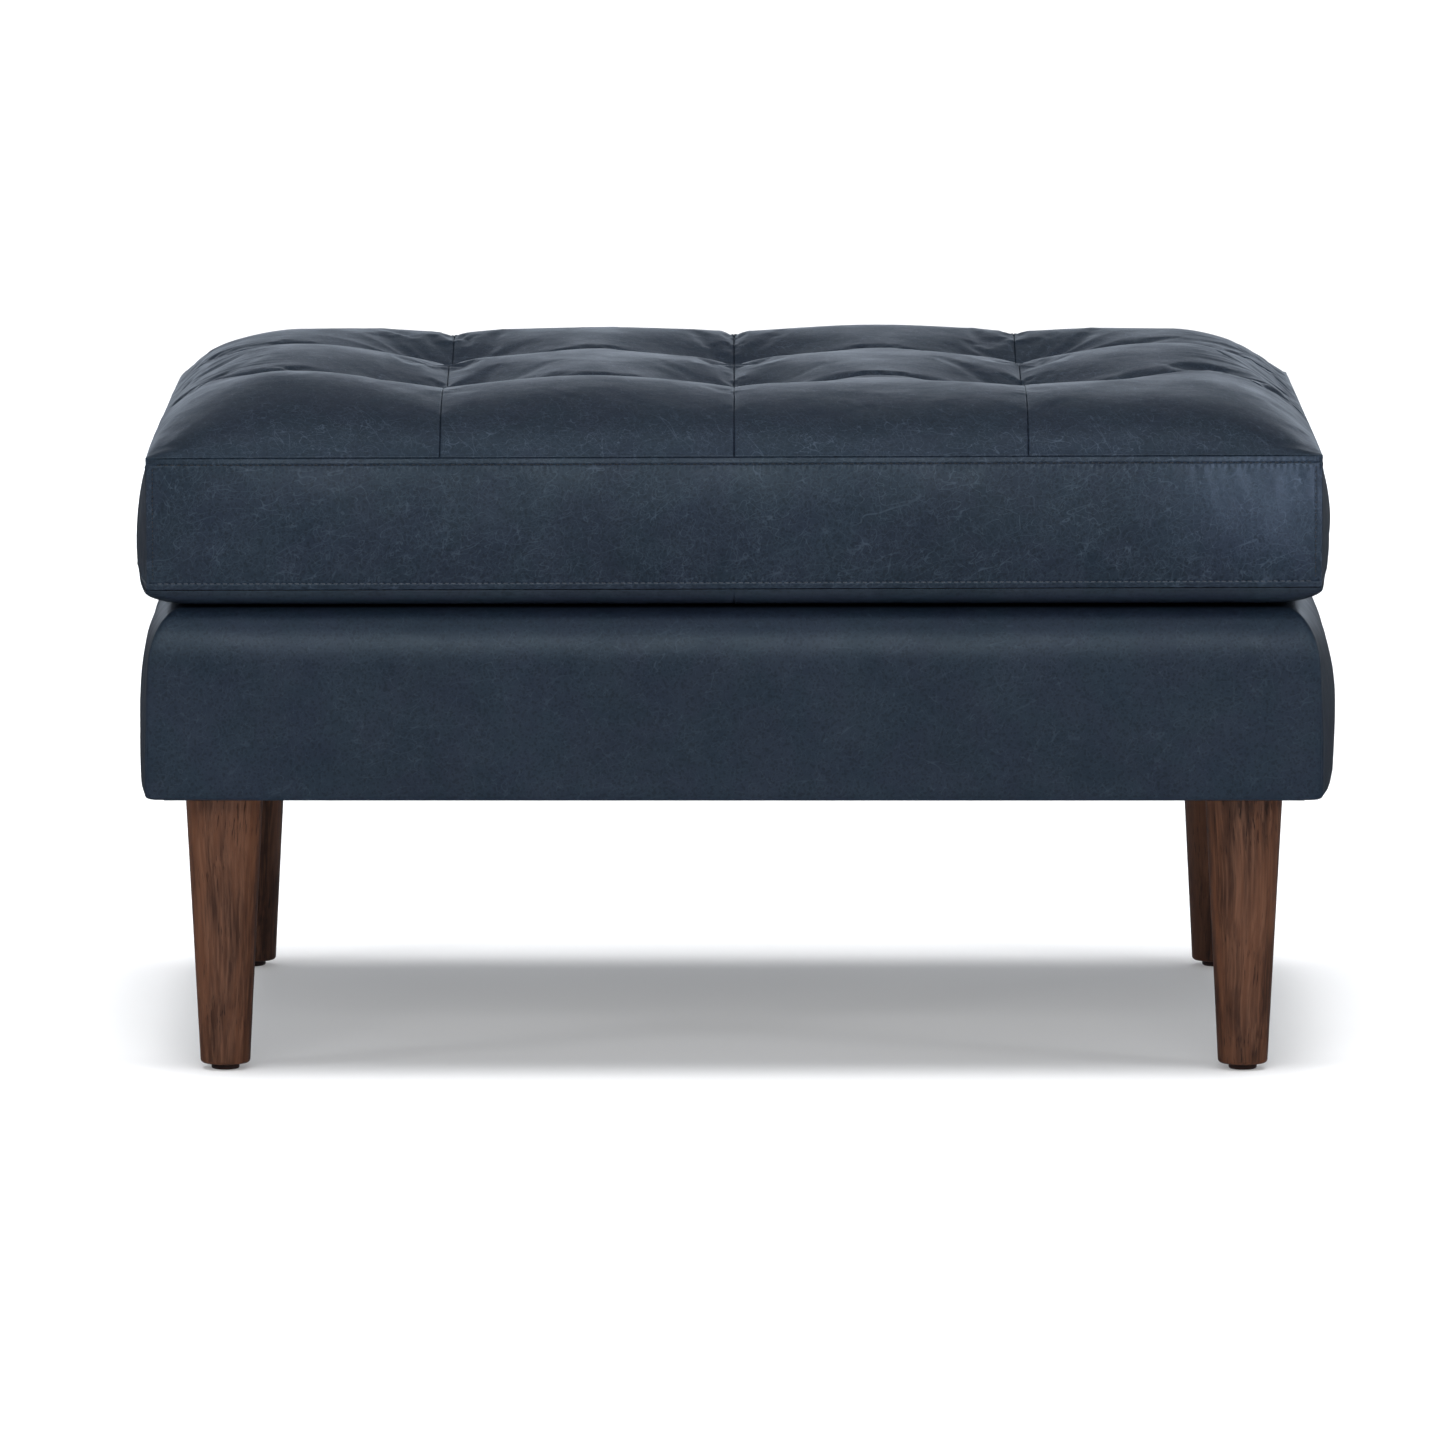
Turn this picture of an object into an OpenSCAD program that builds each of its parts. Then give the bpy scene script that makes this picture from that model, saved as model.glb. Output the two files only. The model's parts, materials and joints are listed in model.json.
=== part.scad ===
// Leather ottoman: a loose tufted box cushion on a padded hardwood base with four turned legs.
// Millimetres. +X is to the right, +Y to the rear and +Z up.
// The origin is on the floor, under the middle of the ottoman.

/* [Legs] */
// Height of the turned wood, from its glide to the underside of the base
leg_h = 182; // [120:1:240]
// Diameter of a leg at the base
leg_top_d = 52; // [44:0.5:60]
// Diameter of a leg at its foot
leg_foot_d = 33.5; // [26:0.5:42]
// Rounding of the foot's edge
leg_foot_round = 2.5; // [1:0.5:5]
// Distance from the rails' inner faces to the leg's axis
leg_from_rail = 12; // [11.5:0.5:24]
// Diameter of the plastic glide
glide_d = 19; // [14:0.5:24]
// Thickness of the plastic glide
glide_h = 4; // [3:0.5:8]
// Rounding of the glide's lower edge
glide_round = 1.5; // [0.5:0.25:2]
// Diameter of the glide's nail
nail_d = 2.4; // [1.6:0.1:3]
// Depth of the nail in the leg
nail_depth = 22; // [12:1:30]
// Plastic left under the end of the nail
nail_cover = 1.5; // [1:0.25:2]

/* [Leg fixings] */
// Diameter of the hanger bolt's machine thread
bolt_d = 8; // [6:0.5:10]
// Diameter of the hanger bolt's wood screw end
bolt_wood_d = 7; // [5:0.5:8]
// Depth of the hanger bolt in the leg
bolt_in_leg = 30; // [20:1:45]
// Length of the bolt that stands out of the tee nut
bolt_spare = 6; // [2:1:12]
// Diameter of the tee nut's barrel
tee_barrel_d = 11; // [10.5:0.25:12]
// Length of the tee nut's barrel
tee_barrel_h = 11; // [6:1:16]
// Diameter of the tee nut's flange
tee_flange_d = 21; // [16:0.5:22]
// Thickness of the tee nut's flange
tee_flange_t = 1.5; // [1:0.25:2.5]

/* [Frame] */
// Width of the base between its corner seams
base_w = 776; // [640:4:980]
// Depth of the base between its corner seams
base_d = 604; // [480:4:760]
// Thickness of the rails
rail_t = 20; // [16:1:24]
// Height of the rails
rail_h = 78; // [60:1:110]
// Height of the centre rail
centre_rail_h = 50; // [30:1:58]
// Length of a corner block along each rail
block_leg = 80; // [64:1:100]
// Height of a corner block
block_h = 40; // [30:1:54]
// Diameter of the dowels
dowel_d = 8; // [6:0.5:10]
// Length of the dowels
dowel_l = 36; // [24:1:40]
// Height of the lower dowel of each pair above the rail's underside
dowel_low = 16; // [10:1:22]
// Height of the upper dowel of each pair above the lower one
dowel_rise = 24; // [14:1:28]
// Diameter of the frame screws
screw_d = 4; // [3:0.5:5]
// Diameter of the frame screws' heads
screw_head_d = 8; // [6:0.5:9]
// Depth of the frame screws in the rails
screw_in_rail = 14; // [8:1:15]
// Wood of the block between a screw's head and the rail
screw_seat = 16; // [10:1:20]
// Distance of the frame screws from the inner corner of the frame
screw_from_corner = 46; // [38:1:52]

/* [Suspension] */
// Width of the elastic webbing
web_w = 60; // [40:1:66]
// Thickness of the elastic webbing
web_t = 1.5; // [1:0.25:2.5]
// Number of straps that run from the front to the rear
webs_across = 5; // [3:1:6]
// Number of straps that run from left to right
webs_along = 3; // [2:1:3]
// Width of a staple's crown
staple_w = 10; // [6:0.5:12]
// Length of a staple's legs
staple_l = 9; // [6:0.5:12]
// Thickness of the staple wire
staple_wire = 0.8; // [0.5:0.1:1.2]
// Distance between the staples of the dust cover
staple_pitch = 60; // [40:1:90]

/* [Base upholstery] */
// Thickness of the leather with its backing
leather_t = 2; // [1.5:0.25:3]
// Thickness of the padding on the rails
pad_t = 12; // [8:1:16]
// Thickness of the padding over the webbing
deck_pad_t = 43; // [40:1:60]
// Padding that laps over the top edge of the rails
pad_lap = 8; // [6:1:14]
// Distance by which the rolled top edge curves in
roll_in = 20; // [12:1:21]
// Height of the rolled top edge
roll_up = 36; // [24:1:39]
// Width of the leather band on the deck and the rolled edge together
deck_band = 92; // [60:1:120]
// Width of the leather that is turned under the rails
turn_under = 25; // [20:1:30]
// Rounding of the lower edge of the base
lower_round = 4; // [2:0.5:6]
// Outward bow of the left and right sides of the base
side_bow = 19; // [0:1:24]
// Height below the deck over which the bow of a side grows to its full measure
bow_rise = 80; // [50:1:110]
// Outward bow of the front and rear of the base
front_bow = 4; // [0:0.5:8]
// Thickness of the dust cover
dust_t = 0.8; // [0.5:0.1:1.5]
// Distance from the corner seam planes to the edge of the dust cover
dust_inset = 7; // [6:0.5:12]

/* [Cushion] */
// Width of the cushion between its corner seams, over that of the base
cushion_extra_w = 8; // [-20:1:30]
// Depth of the cushion between its corner seams, over that of the base
cushion_extra_d = -4; // [-20:1:20]
// Height of the boxing between its seams
boxing_h = 86; // [60:1:120]
// Outward bow of the left and right boxing
boxing_side_bow = 17; // [0:1:20]
// Outward bow of the front boxing
boxing_front_bow = 5; // [0:0.5:8]
// Thickness of the boxing and of the bottom panels
cover_t = 2; // [1.5:0.25:3]
// Thickness of the tufted panels with their backing
tufted_t = 3; // [2:0.25:5]
// Height of the bottom panel's curve up to its seam
under_rise = 13; // [8:1:24]
// Distance over which the bottom panel curves up
under_in = 36; // [20:1:60]
// Thickness of the fibre wrap around the foam
wrap_t = 6; // [4:1:12]

/* [Tufting] */
// Number of tufted panels from left to right
tuft_columns = 4; // [3:1:5]
// Height of a tufted panel's crown over the edge
crown_h = 44; // [30:1:70]
// Height of the seams that run from front to rear
column_seam_h = 33; // [24:1:60]
// Height of the seams that run from left to right
row_seam_h = 33; // [22:1:60]
// Height of the tufts over the edge
tuft_h = 10; // [6:1:20]
// Distance from a tuft over which its pull on the surface falls to about a third
tuft_reach = 24; // [12:1:40]
// Distance over which the left and right edges rise to the crown
side_roll = 90; // [60:1:120]
// Distance over which the front and rear edges rise to the crown
front_roll = 128; // [70:1:140]
// Diameter of the tufting twine
twine_d = 1.8; // [1:0.1:3]
// Diameter of the buttons under the foam
button_d = 20; // [14:1:28]
// Thickness of the buttons under the foam
button_t = 2.5; // [1.5:0.25:4]

/* [Zip] */
// Gap between the upper and the lower strip of the rear boxing
zip_gap = 13; // [10:0.5:18]
// Width of the zip's tape
zip_tape_w = 30; // [24:1:40]
// Thickness of the zip's tape
zip_tape_t = 1; // [0.5:0.25:1.5]
// Width of the closed teeth
zip_teeth_w = 5; // [3:0.5:6]
// Height of the closed teeth over the tape
zip_teeth_t = 1.4; // [1:0.1:2]
// Distance from the cushion's corner seams to the ends of the zip's tape
zip_end = 33; // [20:1:90]
// Length of the slider
slider_l = 14; // [10:0.5:20]
// Width of the slider
slider_w = 9; // [8:0.5:9.5]
// Thickness of the slider over the teeth
slider_t = 1.6; // [1:0.1:2.2]

/* [Clearances] */
// Gap between a shaft or screw and its hole
hole_gap = 0.05; // [0.02:0.01:0.2]
// Gap between a bolt and the holes that it passes through
bolt_gap = 0.5; // [0.2:0.1:1.5]
// Gap between the cushion and the deck that it rests on
seat_gap = 0.3; // [0.2:0.1:1]
// Gap between the zip's slider and the teeth
slider_gap = 0.3; // [0.2:0.05:0.5]

/* [Hidden] */
$fn = 48;
COLUMN_NAMES = [for (c = [1:tuft_columns]) str(c)];
ROW_NAMES = ["front", "middle", "rear"];
tuft_rows = len(ROW_NAMES);
SIDES = ["front", "right", "rear", "left"];
CORNERS = ["front_left", "front_right", "rear_right", "rear_left"];
corner_signs = [[-1, -1], [1, -1], [1, 1], [-1, 1]];

// Colours
leather_colour = [0.13, 0.17, 0.23];
under_leather_colour = [0.11, 0.14, 0.20];
walnut_colour = [0.27, 0.15, 0.10];
frame_colour = [0.76, 0.62, 0.42];
foam_colour = [0.93, 0.90, 0.78];
fibre_colour = [0.95, 0.95, 0.94];
web_colour = [0.10, 0.10, 0.10];
steel_colour = [0.70, 0.71, 0.73];

// Heights, from the floor up
base_z = glide_h + leg_h;
cover_z = base_z + dust_t;
frame_z = cover_z + leather_t;
rail_top_z = frame_z + rail_h;
deck_pad_z = rail_top_z + 2 * web_t;
deck_pad_top_z = deck_pad_z + deck_pad_t;
deck_z = deck_pad_top_z + leather_t;
cushion_z = deck_z + seat_gap;
lower_seam_z = cushion_z + under_rise + cover_t;
upper_seam_z = lower_seam_z + boxing_h;

// Half widths and depths, as [x, y]
base_half = [base_w / 2, base_d / 2];
rail_inset = leather_t + pad_t;
lap_inset = max(rail_inset + pad_lap, roll_in + leather_t);
rail_half = base_half - [1, 1] * rail_inset;
frame_half = rail_half - [1, 1] * rail_t;
leg_half = frame_half - [1, 1] * leg_from_rail;
cushion_w = base_w + cushion_extra_w;
cushion_d = base_d + cushion_extra_d;
cushion_half = [cushion_w / 2, cushion_d / 2];
foam_half = cushion_half - [1, 1] * (cover_t + wrap_t);
panel_size = [cushion_w / tuft_columns, cushion_d / tuft_rows];

// Shares of a tufted panel at which its surface is sampled
edge_knots = [0, 0.04, 0.14, 0.32, 0.55, 0.8, 1];
middle_knots = [0, 0.12, 0.32, 0.5, 0.68, 0.88, 1];
// Shares of a side at which its surface is sampled
bow_knots = [-1, -0.85, -0.65, -0.4, 0, 0.4, 0.65, 0.85, 1];
boxing_knots = [0, 0.15, 0.4, 0.6, 0.85, 1];
roll_angles = [0, 25, 50, 72, 90];
// Shape of the valleys between the tufted panels, sharper below 1 and rounder above it
ridge_power = 1.5;
// Shape of the edges of the tufted top, where 2 is a quarter ellipse
roll_power = 1.7;
// Shape of the bow along a side
bow_power = 3;
// Overlap that joins two bodies of one solid
join = 0.01;

// Solid between two grids of points; columns cross rows points out of the outer grid
module slab(outer, inner) {
    rows = len(outer);
    cols = len(outer[0]);
    n = rows * cols;
    function at(r, c) = r * cols + c;
    skin = [for (r = [0:rows - 2], c = [0:cols - 2])
        [at(r, c), at(r + 1, c), at(r + 1, c + 1), at(r, c + 1)]];
    edges = grid_edge(rows, cols);
    faces = concat(
        [for (q = skin) each [[q[0], q[1], q[2]], [q[0], q[2], q[3]]]],
        [for (q = skin) each [[q[0] + n, q[2] + n, q[1] + n], [q[0] + n, q[3] + n, q[2] + n]]],
        [for (e = edges) each [[e[0], e[1], e[1] + n], [e[0], e[1] + n, e[0] + n]]]
    );
    polyhedron(points = concat([for (r = outer) each r], [for (r = inner) each r]), faces = faces);
}

// Solid between a grid of points and a flat face; foot() gives each edge point's place on that face
module filled(outer, foot) {
    rows = len(outer);
    cols = len(outer[0]);
    n = rows * cols;
    edges = grid_edge(rows, cols);
    m = len(edges);
    flat = [for (r = outer) each r];
    feet = [for (e = edges) foot(flat[e[0]])];
    centre = (foot(flat[0]) + foot(flat[n - 1])) / 2;
    function at(r, c) = r * cols + c;
    skin = [for (r = [0:rows - 2], c = [0:cols - 2])
        [at(r, c), at(r + 1, c), at(r + 1, c + 1), at(r, c + 1)]];
    faces = concat(
        [for (q = skin) each [[q[0], q[1], q[2]], [q[0], q[2], q[3]]]],
        [for (k = [0:m - 1]) let (a = edges[k][0], b = edges[k][1], next = n + (k + 1) % m)
            each [[a, b, next], [a, next, n + k], [n + k, next, n + m]]]
    );
    polyhedron(points = concat(flat, feet, [centre]), faces = faces);
}

// Pairs of point numbers round the edge of a grid, anticlockwise seen from outside
function grid_edge(rows, cols) = concat(
    [for (c = [0:cols - 2]) [c, c + 1]],
    [for (r = [0:rows - 2]) [r * cols + cols - 1, (r + 1) * cols + cols - 1]],
    [for (c = [cols - 1:-1:1]) [(rows - 1) * cols + c, (rows - 1) * cols + c - 1]],
    [for (r = [rows - 1:-1:1]) [r * cols, (r - 1) * cols]]
);

// One point of a mitred side that faces -Y: u runs along it from -1 to 1, inset is measured inwards
function side_point(u, half, inset, z, bow) =
    [u * (half[0] - inset), -(half[1] - inset) - bow * (1 - pow(abs(u), bow_power)), z];

// Turns a piece made for the front to side number k of SIDES
module turned(k) {
    rotate([0, 0, 90 * k]) children();
}

// The half sizes that side number k sees, with its own length first
function turned_half(half, k) = k % 2 == 0 ? half : [half[1], half[0]];

// Places a piece at every corner, as far out as half says
module at_corners(half) {
    for (s = corner_signs) translate([s[0] * half[0], s[1] * half[1], 0]) children();
}

// Straight sheet or board with mitred ends, facing -Y
module mitred_board(half, inset, t, z0, z1) {
    x = half[0] - inset;
    y = -(half[1] - inset);
    translate([0, 0, z0]) linear_extrude(z1 - z0)
        polygon([[-x, y], [x, y], [x - t, y + t], [-x + t, y + t]]);
}

// Base frame

// Rail number k; the front and rear rails run the whole width and hold the side rails between them
module rail(k) {
    color(frame_colour) turned(k) {
        long = k % 2 == 0;
        half = turned_half(rail_half, k);
        length = 2 * (long ? half[0] : half[0] - rail_t);
        translate([0, -half[1] + rail_t / 2, frame_z + rail_h / 2]) difference() {
            cube([length, rail_t, rail_h], center = true);
            if (long) {
                for (x = [-1, 1], z = dowel_heights())
                    translate([x * (half[0] - rail_t / 2), 0, z]) dowel_bore();
                for (z = centre_dowel_heights()) translate([0, 0, z]) dowel_bore();
            } else {
                for (x = [-1, 1], z = dowel_heights())
                    translate([x * length / 2, 0, z]) rotate([0, 0, 90]) dowel_bore();
            }
            for (x = [-1, 1])
                translate([x * (half[0] - rail_t - screw_from_corner), rail_t / 2, screw_height()])
                    rotate([90, 0, 0]) translate([0, 0, -join])
                        cylinder(d = screw_d + 2 * hole_gap, h = screw_in_rail + hole_gap + join);
        }
    }
}

// Heights of the dowels, from the middle of a rail
function dowel_heights() = [dowel_low - rail_h / 2, dowel_low + dowel_rise - rail_h / 2];
function centre_dowel_heights() = [dowel_low - rail_h / 2, dowel_low + centre_rail_h / 3 - rail_h / 2];
// Height of the frame screws, from the middle of a rail
function screw_height() = block_h / 2 - rail_h / 2;

// Hole for one end of a dowel on each side of a joint; it runs along Y
module dowel_bore() {
    rotate([90, 0, 0])
        cylinder(d = dowel_d + 2 * hole_gap, h = dowel_l - rail_t / 2 + 2 * hole_gap, center = true);
}

module centre_rail() {
    color(frame_colour) translate([0, 0, frame_z]) difference() {
        translate([-rail_t / 2, -frame_half[1], 0]) cube([rail_t, 2 * frame_half[1], centre_rail_h]);
        for (y = [-1, 1], z = centre_dowel_heights())
            translate([0, y * frame_half[1], z + rail_h / 2]) dowel_bore();
    }
}

// Dowels that lie half in one rail and half in the next
module dowels() {
    reach = (dowel_l - rail_t / 2) / 2;
    module one() {
        rotate([90, 0, 0]) cylinder(d = dowel_d, h = reach + rail_t / 4, center = true);
    }
    color(frame_colour) translate([0, 0, frame_z + rail_h / 2]) {
        for (x = [-1, 1], y = [-1, 1], z = dowel_heights())
            translate([x * (rail_half[0] - rail_t / 2), y * frame_half[1], z]) one();
        for (y = [-1, 1], z = centre_dowel_heights())
            translate([0, y * frame_half[1], z]) one();
    }
}

// Triangular block behind corner number k, bored for the leg's bolt and tee nut
module corner_block(k) {
    s = corner_signs[k];
    color(frame_colour) translate([s[0] * frame_half[0], s[1] * frame_half[1], frame_z])
        into_corner(s) difference() {
            linear_extrude(block_h)
                polygon([[0, 0], [-block_leg, 0], [0, -block_leg]]);
            translate([-leg_from_rail, -leg_from_rail, -join]) {
                cylinder(d = bolt_d + 2 * bolt_gap, h = block_h + 2 * join);
                translate([0, 0, block_h - tee_barrel_h])
                    cylinder(d = tee_barrel_d + 2 * hole_gap, h = tee_barrel_h + 2 * join);
            }
            for (turn = [0, 1]) screw_axis(turn) {
                cylinder(d = screw_d + 2 * hole_gap, h = block_leg);
                translate([0, 0, screw_seat]) cylinder(d = screw_head_d + 2 * bolt_gap, h = block_leg);
            }
        }
}

// Mirrors a piece made for the rear right corner into the corner with signs s
module into_corner(s) {
    mirror([s[0] < 0 ? 1 : 0, 0, 0]) mirror([0, s[1] < 0 ? 1 : 0, 0]) children();
}

// Puts a screw's axis on one of the two rails at the rear right corner, with +Z away from the rail
module screw_axis(turn) {
    if (turn == 0)
        translate([-screw_from_corner, 0, block_h / 2]) rotate([90, 0, 0]) children();
    else
        translate([0, -screw_from_corner, block_h / 2]) rotate([0, -90, 0]) children();
}

module frame_screws() {
    color(steel_colour) for (s = corner_signs)
        translate([s[0] * frame_half[0], s[1] * frame_half[1], frame_z]) into_corner(s)
            for (turn = [0, 1]) screw_axis(turn) {
                translate([0, 0, -screw_in_rail])
                    cylinder(d = screw_d, h = screw_in_rail + screw_seat + join);
                translate([0, 0, screw_seat]) cylinder(d = screw_head_d, h = screw_d / 2);
            }
}

// Suspension

// Positions of n straps that share the frame's inner span evenly
function strap_places(n, half_span) = [for (i = [0:n - 1]) (2 * i + 1 - n) * half_span / n];
across_places = strap_places(webs_across, frame_half[0]);
along_places = strap_places(webs_along, frame_half[1]);
// Distance past a strap's edge at which the strap under it starts to climb
strap_margin = 4;

// Strap along X with its ends on the rails; it climbs over the crossings whose entry in over is true
module strap(half_length, crossings, over) {
    ramp = web_w / 2 + strap_margin;
    steps = [for (i = [0:len(crossings) - 1]) let (x = crossings[i], z = over[i] ? web_t : 0)
        each [[x - ramp, z], [x + ramp, z]]];
    path = concat([[-half_length, 0], [-half_length + rail_t, 0]], steps,
        [[half_length - rail_t, 0], [half_length, 0]]);
    top = [for (i = [len(path) - 1:-1:0]) path[i] + [0, web_t]];
    rotate([90, 0, 0]) linear_extrude(web_w, center = true) polygon(concat(path, top));
}

module webbing_across() {
    color(web_colour) for (i = [0:webs_across - 1])
        translate([across_places[i], 0, rail_top_z]) rotate([0, 0, 90])
            strap(strap_half[1], along_places, [for (j = [0:webs_along - 1]) (i + j) % 2 == 0]);
}

module webbing_along() {
    color(web_colour) for (j = [0:webs_along - 1])
        translate([0, along_places[j], rail_top_z])
            strap(strap_half[0], across_places, [for (i = [0:webs_across - 1]) (i + j) % 2 == 1]);
}

// Half the length of the straps, which end a little inside the rails' outer faces
strap_half = rail_half - [1, 1] * rail_t / 5;

// Staple with its crown on the plane z = 0 and its legs upwards; the crown runs along X
module staple() {
    translate([-staple_w / 2, -staple_wire / 2, -staple_wire])
        cube([staple_w, staple_wire, staple_wire + join]);
    for (x = [-staple_w / 2, staple_w / 2 - staple_wire])
        translate([x, -staple_wire / 2, 0]) cube([staple_wire, staple_wire, staple_l]);
}

module staples() {
    edge = base_half - [1, 1] * (turn_under + dust_inset) / 2;
    clear = leg_half - [1, 1] * (leg_top_d / 2 + staple_w);
    color(steel_colour) {
        // Round the dust cover, between the legs
        for (k = [0:3]) {
            half = turned_half(edge, k);
            count = floor(2 * turned_half(clear, k)[0] / staple_pitch);
            turned(k) for (i = [0:count])
                translate([(i - count / 2) * staple_pitch, -half[1], base_z]) staple();
        }
        // Two at each end of every strap, driven down
        for (x = across_places, y = [-1, 1], d = [-1, 1])
            translate([x + d * web_w / 4, y * (rail_half[1] - rail_t / 2), rail_top_z + web_t])
                mirror([0, 0, 1]) staple();
        for (y = along_places, x = [-1, 1], d = [-1, 1])
            translate([x * (rail_half[0] - rail_t / 2), y + d * web_w / 4, rail_top_z + web_t])
                mirror([0, 0, 1]) rotate([0, 0, 90]) staple();
    }
}

// Base upholstery

// Share of a side's bow at height z: none at the deck, all of it from bow_rise below the deck
function bow_share(z) = 1 - pow(max(1 - (deck_z - z) / bow_rise, 0), 2);

// Shares of the bow where the leather turns under, and at the top of that round edge
turn_bow = 0.85;
foot_bow = 0.9;

// Levels between the lower edge and the roll, as shares of that height
wall_shares = [0.3, 0.65];
function wall_level(share) = cover_z + share * (deck_z - roll_up - cover_z);

// Level on the roll where it has turned by angle a towards the deck
function roll_level(a) = deck_z - roll_up * (1 - sin(a));

// Section of the leather on one side of the base, as [inset, height, share of the bow]
base_section = concat(
    [[turn_under, cover_z, 0], [lower_round, cover_z, turn_bow], [0, cover_z + lower_round, foot_bow]],
    [for (share = wall_shares) let (z = wall_level(share)) [0, z, bow_share(z)]],
    [for (a = roll_angles) let (z = roll_level(a)) [roll_in * (1 - cos(a)), z, bow_share(z)]],
    [[deck_band, deck_z, 0]]
);

// The same section on the inside of the leather
base_lining = concat(
    [[turn_under, frame_z, 0], [lower_round, frame_z, turn_bow],
        [leather_t, frame_z + lower_round, foot_bow]],
    [for (share = wall_shares) let (z = wall_level(share)) [leather_t, z, bow_share(z)]],
    [for (a = roll_angles) [leather_t + (roll_in - leather_t) * (1 - cos(a)),
        deck_pad_top_z - (roll_up - leather_t) * (1 - sin(a)), bow_share(roll_level(a))]],
    [[deck_band, deck_pad_top_z, 0]]
);

// Grid of points of a section along side number k
function section_grid(section, half, bow, knots) =
    [for (p = section) [for (u = knots) side_point(u, half, p[0], p[1], p[2] * bow)]];

function base_bow(k) = k % 2 == 0 ? front_bow : side_bow;

module cover(k) {
    half = turned_half(base_half, k);
    color(leather_colour) turned(k)
        slab(section_grid(base_section, half, base_bow(k), bow_knots),
            section_grid(base_lining, half, base_bow(k), bow_knots));
}

// Padding of one side, from the rail's face to the leather and over the rail's top edge
module pad(k) {
    // Rows of the lining that the padding fills, and how many of those lie on the rail's face
    first = 2;
    last = len(base_lining) - 2;
    on_rail = 3;
    outer = [for (i = [first:last]) base_lining[i]];
    inner = [for (i = [0:len(outer) - 1])
        i < on_rail ? [rail_inset, outer[i][1], 0]
        : i == on_rail ? [rail_inset, deck_pad_z, 0]
        : [lap_inset, i == on_rail + 1 ? deck_pad_z : outer[i][1], 0]];
    half = turned_half(base_half, k);
    color(fibre_colour) turned(k)
        slab(section_grid(outer, half, base_bow(k), bow_knots), section_grid(inner, half, 0, bow_knots));
}

module deck_pad() {
    half = base_half - [1, 1] * lap_inset;
    color(foam_colour) translate([-half[0], -half[1], deck_pad_z])
        cube([2 * half[0], 2 * half[1], deck_pad_t]);
}

module deck_cloth() {
    half = base_half - [1, 1] * deck_band;
    color([0.12, 0.12, 0.13]) translate([-half[0], -half[1], deck_pad_top_z])
        cube([2 * half[0], 2 * half[1], leather_t]);
}

module dust_cover() {
    half = base_half - [1, 1] * dust_inset;
    color([0.08, 0.08, 0.08]) translate([0, 0, base_z]) difference() {
        translate([-half[0], -half[1], 0]) cube([2 * half[0], 2 * half[1], dust_t]);
        at_corners(leg_half) translate([0, 0, -join])
            cylinder(d = bolt_d + 2 * bolt_gap, h = dust_t + 2 * join);
    }
}

// Legs and their fixings

// Turned leg at corner number k
module leg(k) {
    s = corner_signs[k];
    r = leg_foot_d / 2;
    round_steps = 4;
    foot = [for (i = [0:round_steps]) let (a = 90 * i / round_steps)
        [r - leg_foot_round * (1 - sin(a)), leg_foot_round * (1 - cos(a))]];
    color(walnut_colour) translate([s[0] * leg_half[0], s[1] * leg_half[1], glide_h]) difference() {
        rotate_extrude() polygon(concat([[0, 0]], foot, [[leg_top_d / 2, leg_h], [0, leg_h]]));
        translate([0, 0, leg_h - bolt_in_leg - hole_gap])
            cylinder(d = bolt_wood_d + 2 * hole_gap, h = bolt_in_leg + 1);
        translate([0, 0, -join])
            cylinder(d = nail_d + 2 * hole_gap, h = nail_depth + hole_gap + join);
    }
}

module hanger_bolts() {
    point_l = bolt_wood_d / 2;
    thread_h = frame_z + block_h + tee_flange_t + bolt_spare - base_z;
    color(steel_colour) at_corners(leg_half) translate([0, 0, base_z]) rotate_extrude()
        polygon([[0, -bolt_in_leg], [bolt_wood_d / 2, point_l - bolt_in_leg], [bolt_wood_d / 2, 0],
            [bolt_d / 2, 0], [bolt_d / 2, thread_h - 1], [bolt_d / 2 - 1, thread_h], [0, thread_h]]);
}

module tee_nuts() {
    color(steel_colour) at_corners(leg_half) translate([0, 0, frame_z + block_h]) difference() {
        union() {
            cylinder(d = tee_flange_d, h = tee_flange_t);
            translate([0, 0, -tee_barrel_h]) cylinder(d = tee_barrel_d, h = tee_barrel_h + join);
        }
        translate([0, 0, -tee_barrel_h - join])
            cylinder(d = bolt_d + 2 * hole_gap, h = tee_barrel_h + tee_flange_t + 2 * join);
    }
}

module glides() {
    r = glide_d / 2;
    steps = 4;
    edge = [for (i = [0:steps]) let (a = 90 * i / steps)
        [r - glide_round * (1 - sin(a)), glide_round * (1 - cos(a))]];
    color([0.16, 0.08, 0.06]) at_corners(leg_half) difference() {
        rotate_extrude() polygon(concat([[0, 0]], edge, [[r, glide_h], [0, glide_h]]));
        translate([0, 0, nail_cover]) cylinder(d = nail_d + 2 * hole_gap, h = glide_h);
    }
}

module glide_nails() {
    point_l = nail_d;
    top = glide_h + nail_depth;
    color(steel_colour) at_corners(leg_half) rotate_extrude()
        polygon([[0, nail_cover], [nail_d / 2, nail_cover], [nail_d / 2, top - point_l], [0, top]]);
}

// Cushion

// Rise from 0 at an edge to 1 at distance r, as a quarter ellipse or, with another power, one like it
function edge_rise(d, r, power = 2) = d >= r ? 1 : pow(1 - pow(1 - max(d, 0) / r, power), 1 / power);

// Ridge between two seams at s = 0 and s = 1; the outer half of an outer panel has no seam to dip to
function ridge(s, i, n) =
    (i == 0 && s < 0.5) || (i == n - 1 && s > 0.5) ? 1 : pow(sin(180 * s), ridge_power);

// Extra depth at a tuft, under the crossing of the two valleys
tuft_pull = column_seam_h + row_seam_h - crown_h - tuft_h;

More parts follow.
